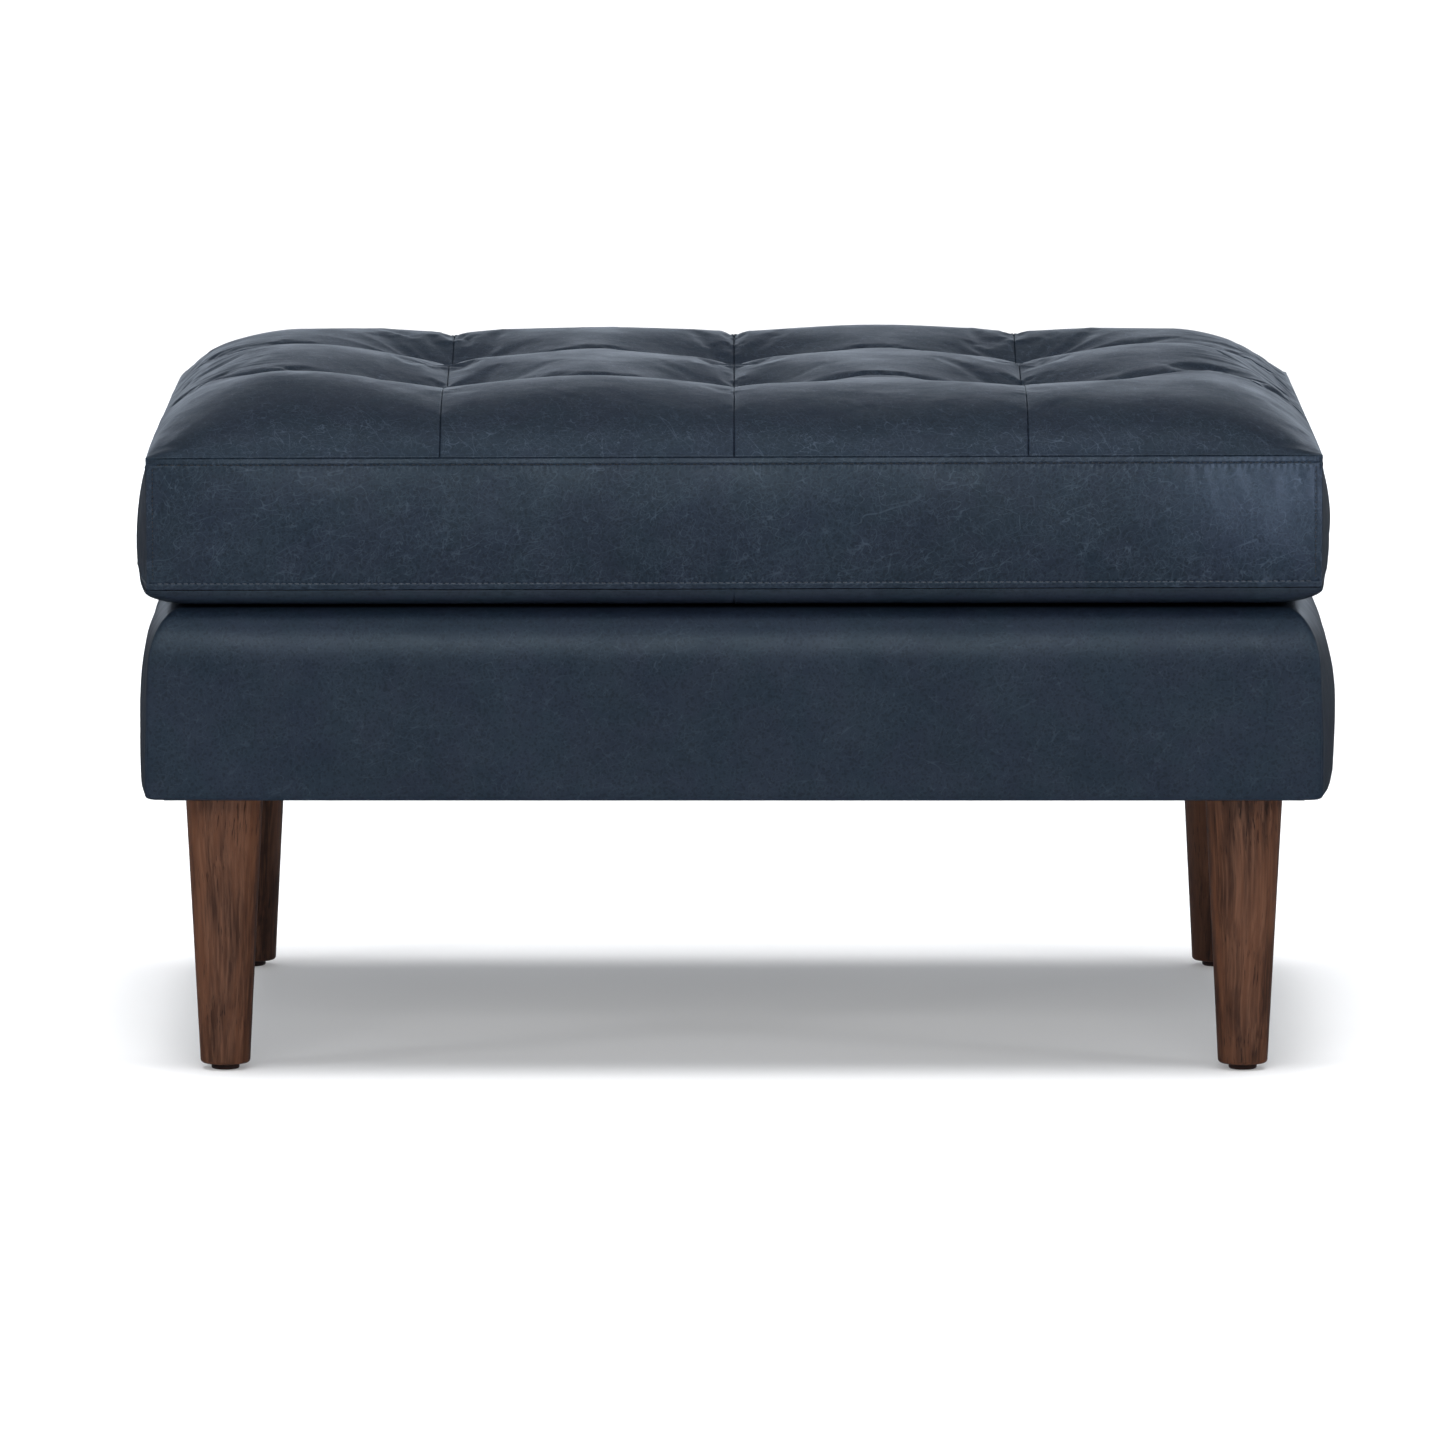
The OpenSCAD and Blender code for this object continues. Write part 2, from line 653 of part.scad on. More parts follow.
// Height of the tufted surface over its edge, at shares s and t of the panel in column i and row j
function tufted_height(i, j, s, t) =
    let (
        x = (i + s) * panel_size[0],
        y = (j + t) * panel_size[1],
        edge = edge_rise(min(x, cushion_w - x), side_roll, roll_power)
            * edge_rise(min(y, cushion_d - y), front_roll, roll_power),
        column_dip = (crown_h - column_seam_h) * (1 - ridge(s, i, tuft_columns)),
        row_dip = (crown_h - row_seam_h) * (1 - ridge(t, j, tuft_rows)),
        near = min([for (p = tuft_places) norm([x, y] - cushion_half - p)])
    )
    edge * (crown_h - column_dip - row_dip - tuft_pull * exp(-near / tuft_reach));

function reversed(list) = [for (k = [len(list) - 1:-1:0]) 1 - list[k]];
function panel_knots(i, n) = i == 0 ? edge_knots : i == n - 1 ? reversed(edge_knots) : middle_knots;

// Point of the tufted surface, lifted above the upper seam
function tufted_point(i, j, s, t, lift) =
    [(i + s) * panel_size[0] - cushion_half[0], (j + t) * panel_size[1] - cushion_half[1],
        upper_seam_z + lift + tufted_height(i, j, s, t)];

module tuft_panel(i, j) {
    across = panel_knots(i, tuft_columns);
    along = panel_knots(j, tuft_rows);
    function grid(lift) = [for (t = along) [for (s = across) tufted_point(i, j, s, t, lift)]];
    color(leather_colour) slab(grid(tufted_t), grid(0));
}

// Every sample place along n panels, as [panel, share], without the outermost two
function all_knots(n) = [
    for (i = [0:n - 1])
        let (knots = panel_knots(i, n), first = i == 0 ? 1 : 0)
            for (q = [first:len(knots) - 2]) [i, knots[q]]
];

// Places of the tufts, where the seams cross
tuft_places = [for (i = [1:tuft_columns - 1], j = [1:tuft_rows - 1])
    [i * panel_size[0] - cushion_half[0], j * panel_size[1] - cushion_half[1]]];

module fibre_topper() {
    grid = [for (b = all_knots(tuft_rows)) [for (a = all_knots(tuft_columns))
        tufted_point(a[0], b[0], a[1], b[1], 0)]];
    color(fibre_colour) difference() {
        filled(grid, function (p) [p[0], p[1], upper_seam_z]);
        for (p = tuft_places) translate([p[0], p[1], upper_seam_z - join])
            cylinder(d = twine_d + 2 * hole_gap, h = tuft_h + twine_d);
    }
}

// Underside of the foam, which lies on the inside of the bottom panels
foam_z = cushion_z + cover_t;

module foam_core() {
    lower_half = cushion_half - [1, 1] * under_in;
    color(foam_colour) difference() {
        union() {
            translate([-foam_half[0], -foam_half[1], lower_seam_z])
                cube([2 * foam_half[0], 2 * foam_half[1], boxing_h]);
            translate([-lower_half[0], -lower_half[1], foam_z])
                cube([2 * lower_half[0], 2 * lower_half[1], lower_seam_z - foam_z + join]);
        }
        for (p = tuft_places) translate([p[0], p[1], foam_z - join]) {
            cylinder(d = twine_d + 2 * hole_gap, h = upper_seam_z);
            cylinder(d = button_d + 2 * bolt_gap, h = button_t + join);
        }
    }
}

module tuft_ties() {
    top = upper_seam_z + tuft_h;
    color("white") for (p = tuft_places) translate([p[0], p[1], foam_z + button_t])
        cylinder(d = twine_d, h = top - foam_z - button_t);
}

module tuft_buttons() {
    color("dimgray") for (p = tuft_places) translate([p[0], p[1], foam_z])
        cylinder(d = button_d, h = button_t);
}

// Section of the boxing or of the wrap behind it
function boxing_grid(k, inset, bow) =
    let (half = turned_half(cushion_half, k))
    [for (v = boxing_knots) [for (u = bow_knots)
        side_point(u, half, inset, lower_seam_z + v * boxing_h, bow * (1 - pow(2 * v - 1, 2)))]];

function boxing_bow(k) = k == 0 ? boxing_front_bow : k == 2 ? 0 : boxing_side_bow;

module boxing(k) {
    color(leather_colour) turned(k)
        slab(boxing_grid(k, 0, boxing_bow(k)), boxing_grid(k, cover_t, boxing_bow(k)));
}

// Strip of the rear boxing between two heights; past the ends of the zip the two strips meet
module rear_strip(z0, z1) {
    color(leather_colour) difference() {
        turned(2) mitred_board(cushion_half, 0, cover_t, z0, z1);
        translate([-zip_length / 2, cushion_half[1] - cover_t - join, zip_z - zip_gap / 2])
            cube([zip_length, cover_t + 2 * join, zip_gap]);
    }
}

zip_z = lower_seam_z + boxing_h / 2;

// Wrap behind each side of the boxing; the rear one leaves room for the zip's tape
module fibre_wrap() {
    post = wrap_t / 2;
    color(fibre_colour) {
        for (k = [0, 1, 3]) turned(k) {
            half = turned_half(cushion_half, k);
            back = cover_t + wrap_t;
            filled(boxing_grid(k, cover_t, boxing_bow(k)), function (p)
                [p[0] * (half[0] - back) / (half[0] - cover_t), -(half[1] - back), p[2]]);
        }
        turned(2) mitred_board(cushion_half, cover_t + zip_tape_t, wrap_t - zip_tape_t,
            lower_seam_z, upper_seam_z);
        // The band is one piece, so a post inside each corner ties its sides together
        at_corners(cushion_half - [1, 1] * (cover_t + wrap_t / 2))
            translate([-post / 2, -post / 2, lower_seam_z]) cube([post, post, boxing_h]);
    }
}

// Bottom panel left (side = -1) or right (side = 1) of the seam in the middle
module bottom_panel(side) {
    lift = lower_seam_z - cover_t - cushion_z;
    curve = [0, 0.12, 0.4, 1];
    xs = concat([for (c = curve) c * under_in - cushion_half[0]], [0]);
    ys = concat([for (c = curve) c * under_in - cushion_half[1]],
        [for (k = [len(curve) - 1:-1:0]) cushion_half[1] - curve[k] * under_in]);
    function height(x, y) = cushion_z + lift * (1 - edge_rise(cushion_half[0] - abs(x), under_in)
        * edge_rise(cushion_half[1] - abs(y), under_in));
    function grid(up) = [for (y = ys) [for (x = xs) [x, y, height(x, y) + up]]];
    color(under_leather_colour) mirror([side > 0 ? 1 : 0, 0, 0]) slab(grid(cover_t), grid(0));
}

// Zip

zip_length = cushion_w - 2 * zip_end;
// Length that the slider travels, with the slider's own length left at each end
zip_travel = zip_length - 2 * slider_l;

module zip_tape() {
    y = cushion_half[1] - cover_t;
    color([0.09, 0.11, 0.15]) translate([-zip_length / 2, y, zip_z]) {
        translate([0, -zip_tape_t, -zip_tape_w / 2]) cube([zip_length, zip_tape_t, zip_tape_w]);
        translate([0, -join, -zip_teeth_w / 2]) cube([zip_length, zip_teeth_t + join, zip_teeth_w]);
    }
}

// Slider at the closed end of the zip, over the teeth
module zip_slider() {
    y = cushion_half[1] - cover_t + slider_gap;
    depth = zip_teeth_t + slider_t;
    color(steel_colour) translate([zip_travel / 2, y, zip_z]) difference() {
        translate([-slider_l / 2, 0, -slider_w / 2]) cube([slider_l, depth, slider_w]);
        translate([-slider_l / 2 - join, -join, -zip_teeth_w / 2 - slider_gap])
            cube([slider_l + 2 * join, zip_teeth_t + join, zip_teeth_w + 2 * slider_gap]);
    }
}

for (k = [0:3]) {
    rail(k);
    pad(k);
    cover(k);
    corner_block(k);
    leg(k);
}
centre_rail();
dowels();
frame_screws();
webbing_across();
webbing_along();
staples();
deck_pad();
deck_cloth();
dust_cover();
hanger_bolts();
tee_nuts();
glides();
glide_nails();
for (j = [0:tuft_rows - 1], i = [0:tuft_columns - 1])
    tuft_panel(i, j);
fibre_topper();
foam_core();
fibre_wrap();
boxing(0);  // boxing_front
boxing(1);  // boxing_right
boxing(3);  // boxing_left
rear_strip(zip_z, upper_seam_z);  // boxing_rear_upper
rear_strip(lower_seam_z, zip_z);  // boxing_rear_lower
bottom_panel(-1);  // bottom_panel_left
bottom_panel(1);  // bottom_panel_right
tuft_ties();
tuft_buttons();
zip_tape();
zip_slider();
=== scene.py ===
import json
import math

import bpy
import numpy as np
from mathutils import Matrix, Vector

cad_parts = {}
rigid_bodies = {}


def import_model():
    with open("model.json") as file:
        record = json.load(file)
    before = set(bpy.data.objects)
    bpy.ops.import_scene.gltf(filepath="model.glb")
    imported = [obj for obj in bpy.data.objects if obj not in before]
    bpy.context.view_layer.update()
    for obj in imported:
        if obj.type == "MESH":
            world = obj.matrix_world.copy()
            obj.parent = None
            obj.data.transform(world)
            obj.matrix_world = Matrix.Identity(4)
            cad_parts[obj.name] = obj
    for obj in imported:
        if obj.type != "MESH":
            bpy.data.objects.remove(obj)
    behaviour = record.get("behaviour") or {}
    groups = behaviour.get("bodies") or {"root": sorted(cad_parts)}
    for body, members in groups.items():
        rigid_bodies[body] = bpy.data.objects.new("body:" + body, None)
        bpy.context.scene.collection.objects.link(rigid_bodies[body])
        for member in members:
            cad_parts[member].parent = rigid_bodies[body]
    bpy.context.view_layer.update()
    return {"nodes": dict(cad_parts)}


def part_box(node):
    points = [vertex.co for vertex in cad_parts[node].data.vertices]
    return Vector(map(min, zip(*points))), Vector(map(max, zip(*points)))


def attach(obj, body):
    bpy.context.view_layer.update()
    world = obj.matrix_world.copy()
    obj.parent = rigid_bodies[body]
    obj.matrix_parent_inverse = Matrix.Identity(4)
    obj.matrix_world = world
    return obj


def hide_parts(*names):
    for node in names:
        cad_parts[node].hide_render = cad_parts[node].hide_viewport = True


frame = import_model()
NODES = frame["nodes"]
scene = bpy.context.scene
MM = 0.001

# Sizes, read from the solids
seat_lo, seat_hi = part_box("boxing_front")
HALF_W = seat_hi.x
HALF_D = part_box("boxing_rear_upper")[1].y
# The lower seam hangs a little lower than on the solid, where the filling presses it down
SEAM_LOW, SEAM_TOP = seat_lo.z - 2.5 * MM, seat_hi.z
FRONT_BOW = -HALF_D - seat_lo.y
SIDE_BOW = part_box("boxing_right")[1].x - HALF_W
CUSHION_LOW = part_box("bottom_panel_left")[0].z
cover_lo, cover_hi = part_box("cover_front")
BASE_W = cover_hi.x
BASE_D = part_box("cover_right")[1].y
BASE_LOW, DECK = cover_lo.z, cover_hi.z
BASE_FRONT_BOW = -BASE_D - cover_lo.y
BASE_SIDE_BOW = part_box("cover_right")[1].x - BASE_W
COLUMNS, ROWS = 4, 3
PANEL_W, PANEL_D = 2 * HALF_W / COLUMNS, 2 * HALF_D / ROWS
ROW_NAMES = ["front", "middle", "rear"]
# The sides, in the order of their quarter turns from the front
SIDES = ["front", "right", "rear", "left"]
# Leather with its backing: tufted panels, boxing, bottom and base, the strips beside the zip
TOP_T, SIDE_T, UNDER_T, STRIP_T = 2.6 * MM, 2.2 * MM, 2.0 * MM, 1.6 * MM


# Shader nodes

def new_material(name):
    m = bpy.data.materials.new(name)
    m.use_nodes = True
    return m, m.node_tree, m.node_tree.nodes["Principled BSDF"]


def set_inputs(tree, n, ins):
    """Links each input of a node to a socket, or sets its value."""
    for k, v in ins.items():
        if isinstance(v, bpy.types.NodeSocket):
            tree.links.new(v, n.inputs[k])
        else:
            n.inputs[k].default_value = v


def node(tree, kind, ins=None, **props):
    n = tree.nodes.new("ShaderNode" + kind)
    for k, v in props.items():
        setattr(n, k, v)
    set_inputs(tree, n, ins or {})
    return n


def coords(tree):
    return node(tree, "TexCoord").outputs["Object"]


def stretched(tree, vector, scale):
    return node(tree, "Mapping", {"Vector": vector, "Scale": scale}).outputs[0]


def noise(tree, vector, scale, detail=3.0, rough=0.55, distortion=0.0):
    return node(tree, "TexNoise", {"Vector": vector, "Scale": scale, "Detail": detail,
                                   "Roughness": rough, "Distortion": distortion}).outputs[0]


def voronoi(tree, vector, scale, feature="F1"):
    return node(tree, "TexVoronoi", {"Vector": vector, "Scale": scale}, feature=feature).outputs["Distance"]


def remap(tree, value, a, b, c=0.0, d=1.0, smooth=False):
    """Maps the range a to b of a value to the range c to d."""
    ins = {"Value": value, "From Min": a, "From Max": b, "To Min": c, "To Max": d}
    kind = "SMOOTHSTEP" if smooth else "LINEAR"
    return node(tree, "MapRange", ins, interpolation_type=kind).outputs[0]


def maths(tree, how, a, b=0.0):
    return node(tree, "Math", {0: a, 1: b}, operation=how).outputs[0]


def blend_colours(tree, factor, a, b):
    a, b = (v if isinstance(v, bpy.types.NodeSocket) else (*v, 1.0) for v in (a, b))
    return node(tree, "Mix", {0: factor, 6: a, 7: b}, data_type="RGBA").outputs[2]


def bump(tree, height, distance, strength=1.0, under=None):
    ins = {"Height": height, "Distance": distance, "Strength": strength}
    if under is not None:
        ins["Normal"] = under
    return node(tree, "Bump", ins).outputs[0]


def warped(tree, vector, scale, amount):
    """The coordinates, pushed about by a coloured noise."""
    n = node(tree, "TexNoise", {"Vector": vector, "Scale": scale, "Detail": 2.0})
    off = node(tree, "VectorMath", {0: n.outputs["Color"], 1: (0.5, 0.5, 0.5)}, operation="SUBTRACT")
    big = node(tree, "VectorMath", {0: off.outputs[0], "Scale": amount}, operation="SCALE")
    return node(tree, "VectorMath", {0: vector, 1: big.outputs[0]}, operation="ADD").outputs[0]


def strokes(tree, vector, turned, scale):
    """Fine lines that run mostly one way: where a drawn-out noise passes its middle value."""
    w = warped(tree, vector, 22.0, 0.006)
    v = node(tree, "Mapping", {"Vector": w, "Rotation": turned}).outputs[0]
    off = maths(tree, "SUBTRACT", noise(tree, stretched(tree, v, (0.22, 1.0, 1.0)), scale, 0.0), 0.5)
    return remap(tree, maths(tree, "ABSOLUTE", off), 0.0, 0.014, 1.0, 0.0, smooth=True)


# Materials

def leather_material(name, dark, mid, pale, crackle):
    """Waxed pull-up leather: mottled colour, pale hairline creases, a fine pebbled grain."""
    m, t, bsdf = new_material(name)
    v = coords(t)
    cloud = noise(t, v, 9.0, 3.0)
    mottle = noise(t, v, 60.0, 4.0, 0.62)
    tone = maths(t, "ADD", maths(t, "MULTIPLY", cloud, 0.55), maths(t, "MULTIPLY", mottle, 0.45))
    colour = blend_colours(t, remap(t, tone, 0.36, 0.64, smooth=True), dark, mid)
    # Patches that lean to teal or to violet
    hue = remap(t, noise(t, v, 26.0, 2.0), 0.4, 0.6, smooth=True)
    shifted = blend_colours(t, hue, tuple(c * q for c, q in zip(mid, (1.10, 0.96, 1.04))),
                            tuple(c * q for c, q in zip(mid, (0.84, 1.04, 0.98))))
    colour = blend_colours(t, 0.45, colour, shifted)
    # Hairline creases: long strokes that cross each other in patches, over a fine net
    lines = None
    for turned, scale, patch in (((0.2, 0.25, 0.3), 150.0, 31.0), ((0.3, 1.25, 1.4), 170.0, 37.0),
                                 ((0.1, 2.2, 2.4), 160.0, 43.0), ((0.5, 0.8, 0.9), 190.0, 34.0)):
        there = remap(t, noise(t, v, patch, 2.0), 0.36, 0.62, 0.30, 1.0)
        one = maths(t, "MULTIPLY", strokes(t, v, turned, scale), there)
        lines = one if lines is None else maths(t, "MAXIMUM", lines, one)
    net = voronoi(t, warped(t, v, 150.0, 0.003), 330.0, "DISTANCE_TO_EDGE")
    net = remap(t, net, 0.0, 0.10, 1.0, 0.0, smooth=True)
    net = maths(t, "MULTIPLY", net, remap(t, noise(t, v, 75.0, 2.0), 0.42, 0.60, 0.05, 0.35, smooth=True))
    lines = maths(t, "MAXIMUM", lines, net)
    # The stretched panels of the top show their creases more than the upright sides
    height = node(t, "SeparateXYZ", {"Vector": v}).outputs[2]
    worn = remap(t, height, SEAM_TOP - 2 * MM, SEAM_TOP + 8 * MM, crackle, min(1.7 * crackle, 1.0))
    colour = blend_colours(t, maths(t, "MULTIPLY", lines, worn), colour, pale)
    # Pores, darker and a little sunk
    pebble = voronoi(t, warped(t, v, 420.0, 0.0012), 470.0, "SMOOTH_F1")
    pits = remap(t, pebble, 0.18, 0.42, 1.0, 0.0, smooth=True)
    colour = blend_colours(t, maths(t, "MULTIPLY", pits, 0.50), colour, tuple(c * 0.5 for c in dark))
    rough = remap(t, noise(t, v, 30.0, 4.0, 0.6), 0.3, 0.7, 0.38, 0.50)
    grain = bump(t, pits, 0.00022, -0.55)
    fine = bump(t, noise(t, v, 1500.0, 2.0), 0.00012, 0.35, grain)
    crease = bump(t, lines, 0.00025, -0.8, fine)
    soft = bump(t, noise(t, v, 90.0, 3.0), 0.0009, 0.35, crease)
    set_inputs(t, bsdf, {"Base Color": colour, "Roughness": rough, "Normal": soft, "IOR": 1.45,
                         "Specular Tint": (0.74, 0.90, 1.0, 1), "Specular IOR Level": 0.56})
    return m


def wood_material(name, dark, mid, light, pores, rough=0.36):
    """Wood whose grain runs along Z: broad streaks, fine fibres and short dark pores."""
    m, t, bsdf = new_material(name)
    v = coords(t)
    w = warped(t, v, 9.0, 0.010)
    streak = noise(t, stretched(t, w, (1, 1, 1 / 9)), 75.0, 4.0, 0.6, 0.4)
    fibre = noise(t, stretched(t, w, (1, 1, 0.03)), 520.0, 3.0, 0.6)
    colour = blend_colours(t, remap(t, streak, 0.34, 0.62, smooth=True), dark, mid)
    colour = blend_colours(t, remap(t, fibre, 0.46, 0.7, 0.0, 0.75), colour, light)
    pore = remap(t, noise(t, stretched(t, w, (1, 1, 0.07)), 900.0, 2.0, 0.5), 0.58, 0.68, smooth=True)
    pore = maths(t, "MULTIPLY", pore, remap(t, noise(t, v, 30.0, 2.0), 0.35, 0.6))
    colour = blend_colours(t, maths(t, "MULTIPLY", pore, pores), colour, tuple(c * 0.25 for c in dark))
    set_inputs(t, bsdf, {"Base Color": colour,
                         "Roughness": remap(t, fibre, 0.3, 0.7, rough - 0.05, rough + 0.09),
                         "Normal": bump(t, pore, 0.0002, -0.5, bump(t, fibre, 0.00012, 0.4))})
    return m


def plain_material(name, a, b, scale, rough, bump_scale, bump_size, metal=0.0):
    """A finish with a slight variation of colour, roughness and surface."""
    m, t, bsdf = new_material(name)
    v = coords(t)
    n = noise(t, v, scale, 4.0, 0.6)
    set_inputs(t, bsdf, {"Base Color": blend_colours(t, remap(t, n, 0.32, 0.68), a, b),
                         "Roughness": remap(t, n, 0.3, 0.7, rough - 0.06, rough + 0.06),
                         "Normal": bump(t, noise(t, v, bump_scale, 3.0), bump_size, 0.5),
                         "Metallic": metal})
    return m


def foam_material(name, a, b):
    """Open-cell foam: small round pits."""
    m, t, bsdf = new_material(name)
    cell = voronoi(t, warped(t, coords(t), 300.0, 0.001), 620.0)
    set_inputs(t, bsdf, {"Base Color": blend_colours(t, remap(t, cell, 0.1, 0.6), b, a), "Roughness": 0.9,
                         "Normal": bump(t, cell, 0.0008, 0.7), "Sheen Weight": 0.1})
    return m


def fibre_material(name, a, b):
    """Needled polyester fibre: a matted white fleece."""
    m, t, bsdf = new_material(name)
    strands = noise(t, warped(t, coords(t), 60.0, 0.02), 380.0, 5.0, 0.7, 1.5)
    set_inputs(t, bsdf, {"Base Color": blend_colours(t, remap(t, strands, 0.35, 0.65), b, a),
                         "Roughness": 0.95, "Normal": bump(t, strands, 0.0015, 0.6), "Sheen Weight": 0.3})
    return m


def woven_material(name, a, b, pitch, rough=0.85, depth=0.0003):
    """Plain weave: two sets of threads that cross, each over and under the other."""
    m, t, bsdf = new_material(name)
    v = coords(t)
    x, y, z = node(t, "SeparateXYZ", {0: v}).outputs
    across, along = (maths(t, "SINE", maths(t, "MULTIPLY", maths(t, "ADD", c, z), math.pi / pitch))
                     for c in (x, y))
    over = remap(t, maths(t, "MULTIPLY", across, along), -0.8, 0.8, smooth=True)
    height = maths(t, "ADD", over, maths(t, "MULTIPLY", noise(t, v, 900.0, 3.0), 0.4))
    tone = remap(t, maths(t, "ADD", over, noise(t, v, 40.0, 3.0)), 0.2, 1.7)
    set_inputs(t, bsdf, {"Base Color": blend_colours(t, tone, a, b), "Roughness": rough,
                         "Sheen Weight": 0.15, "Normal": bump(t, height, depth, 0.8)})
    return m


LEATHER = leather_material("leather", (0.0088, 0.0152, 0.0285), (0.0136, 0.0228, 0.0405),
                           (0.064, 0.088, 0.126), 0.52)
LEATHER_BASE = leather_material("leather_base", (0.0095, 0.0162, 0.031), (0.0140, 0.0232, 0.041),
                                (0.050, 0.070, 0.102), 0.34)
LEATHER_UNDER = leather_material("leather_under", (0.0095, 0.0150, 0.026), (0.0140, 0.0215, 0.036),
                                 (0.055, 0.070, 0.095), 0.16)
WALNUT = wood_material("walnut", (0.041, 0.0148, 0.0070), (0.120, 0.0445, 0.0195), (0.178, 0.072, 0.033),
                       0.85)
POPLAR = wood_material("frame_wood", (0.38, 0.26, 0.14), (0.55, 0.41, 0.25), (0.66, 0.53, 0.36), 0.25,
                       rough=0.62)
BEECH = wood_material("dowel_wood", (0.48, 0.32, 0.18), (0.62, 0.45, 0.28), (0.70, 0.55, 0.38), 0.3,
                      rough=0.55)
FOAM = foam_material("foam", (0.83, 0.78, 0.60), (0.58, 0.52, 0.36))
FIBRE = fibre_material("fibre", (0.88, 0.88, 0.87), (0.68, 0.68, 0.67))
WEBBING = woven_material("webbing", (0.010, 0.010, 0.011), (0.045, 0.045, 0.048), 1.6 * MM)
DECK_CLOTH = woven_material("deck_cloth", (0.008, 0.008, 0.009), (0.030, 0.031, 0.034), 0.9 * MM)
DUST_CLOTH = woven_material("dust_cloth", (0.006, 0.006, 0.006), (0.022, 0.022, 0.022), 0.6 * MM)
THREAD = woven_material("thread", (0.020, 0.030, 0.045), (0.085, 0.105, 0.135), 0.35 * MM, 0.55, 0.0001)
# The same thread, darkened: painted shade for the rows of stitches that lie in the groove beside a seam
THREAD_PAINTED_SHADE = woven_material("thread_painted_shade", (0.004, 0.006, 0.009), (0.014, 0.020, 0.029), 0.35 * MM, 0.6,
                             0.0001)
ZIP_TAPE = woven_material("zip_tape", (0.008, 0.011, 0.018), (0.026, 0.032, 0.046), 0.7 * MM)
TWINE = woven_material("twine", (0.60, 0.58, 0.52), (0.80, 0.78, 0.72), 0.6 * MM)
STEEL = plain_material("steel", (0.42, 0.43, 0.45), (0.58, 0.59, 0.60), 300.0, 0.34, 900.0, 0.00005, 1.0)
ZIP_METAL = plain_material("zip_metal", (0.10, 0.10, 0.11), (0.17, 0.17, 0.18), 400.0, 0.30, 900.0,
                           0.00004, 1.0)
GLIDE = plain_material("glide_plastic", (0.030, 0.011, 0.008), (0.048, 0.018, 0.012), 200.0, 0.42, 900.0,
                       0.00008)
BUTTON = plain_material("button_plastic", (0.030, 0.030, 0.032), (0.050, 0.050, 0.052), 200.0, 0.4, 900.0,
                        0.00006)


# Mesh tools

def new_object(name, points, faces):
    mesh = bpy.data.meshes.new(name)
    mesh.from_pydata(np.asarray(points, float).reshape(-1, 3).tolist(), [], faces)
    o = bpy.data.objects.new(name, mesh)
    scene.collection.objects.link(o)
    return o


def piece(name, points, faces, material, body, slot=None, replaces=(), smooth=True, sharp=60.0):
    """A mesh that rides on a body; its faces are a list, or a tuple of arrays."""
    if isinstance(faces, tuple):
        faces = [f for part in faces for f in part.tolist()]
    o = new_object(name, points, faces)
    mesh = o.data
    mesh.validate()
    mesh.materials.append(material)
    if smooth:
        mesh.polygons.foreach_set("use_smooth", [True] * len(mesh.polygons))
        mesh.set_sharp_from_angle(angle=math.radians(sharp))
    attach(o, body)
    if replaces:
        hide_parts(*replaces)
    return o


def grid_quads(rows, cols, start=0, flip=False):
    r, c = np.meshgrid(np.arange(rows - 1), np.arange(cols - 1), indexing="ij")
    a = (start + r * cols + c).ravel()
    q = np.stack([a, a + 1, a + cols + 1, a + cols], -1)
    return q[:, ::-1] if flip else q


def grid_rim(rows, cols):
    """Point numbers round the edge of a grid, as a closed loop."""
    n = np.arange(rows * cols).reshape(rows, cols)
    return np.concatenate([n[0, :-1], n[:-1, -1], n[-1, :0:-1], n[:0:-1, 0]])


def normals_of(grid):
    du = np.gradient(grid, axis=1)
    dv = np.gradient(grid, axis=0)
    n = np.cross(du, dv)
    return n / np.maximum(np.linalg.norm(n, axis=2, keepdims=True), 1e-12)


def shell(outer, inner):
    """Closed skin between two grids of the same size; columns cross rows points out of the outer one."""
    rows, cols = outer.shape[:2]
    n = rows * cols
    rim = grid_rim(rows, cols)
    nxt = np.roll(rim, -1)
    sides = np.stack([rim, rim + n, nxt + n, nxt], -1)
    points = np.concatenate([outer.reshape(-1, 3), inner.reshape(-1, 3)])
    return points, (grid_quads(rows, cols), grid_quads(rows, cols, n, True), sides)


def joined(skins):
    """Several skins as one mesh."""
    points, faces, start = [], [], 0
    for p, f in skins:
        points.append(p)
        faces += [part + start for part in f]
        start += len(p)
    return np.concatenate(points), tuple(faces)


def ring_faces(rings, sides, start=0):
    """Faces of a closed tube: the bands between its rings, and its two ends."""
    faces = []
    for r in range(rings - 1):
        a, b = start + r * sides, start + (r + 1) * sides
        faces += [[a + q, a + (q + 1) % sides, b + (q + 1) % sides, b + q] for q in range(sides)]
    last = start + (rings - 1) * sides
    return faces + [list(range(start + sides - 1, start - 1, -1)), list(range(last, last + sides))]


def turn(points, k):
    """Turns points about Z by k quarter turns."""
    for _ in range(k % 4):
        points = np.stack([-points[..., 1], points[..., 0], points[..., 2]], -1)
    return points


def waves(x, y, length, seed):
    """Smooth unevenness about 0, with features of roughly that length, from waves in random directions."""
    rng = np.random.default_rng(seed)
    count = 9
    total = 0.0
    for _ in range(count):
        a, p = rng.uniform(0, 2 * math.pi, 2)
        k = 2 * math.pi / (length * rng.uniform(0.7, 1.5))
        total = total + np.sin(k * (x * math.cos(a) + y * math.sin(a)) + p)
    return total / math.sqrt(count / 2)


def places(lo, hi, step, near_lo, near_hi):
    """Sample places from lo to hi: those distances from each end, and even steps between them."""
    a = lo + np.array(near_lo) * MM
    b = hi - np.array(near_hi)[::-1] * MM
    count = max(int(round((b[0] - a[-1]) / step)), 1)
    return np.concatenate([a, np.linspace(a[-1], b[0], count + 1)[1:-1], b])


def side_half(k, w=HALF_W, d=HALF_D):
    """Half the length of side k and its distance from the middle."""
    return (w, d) if k % 2 == 0 else (d, w)


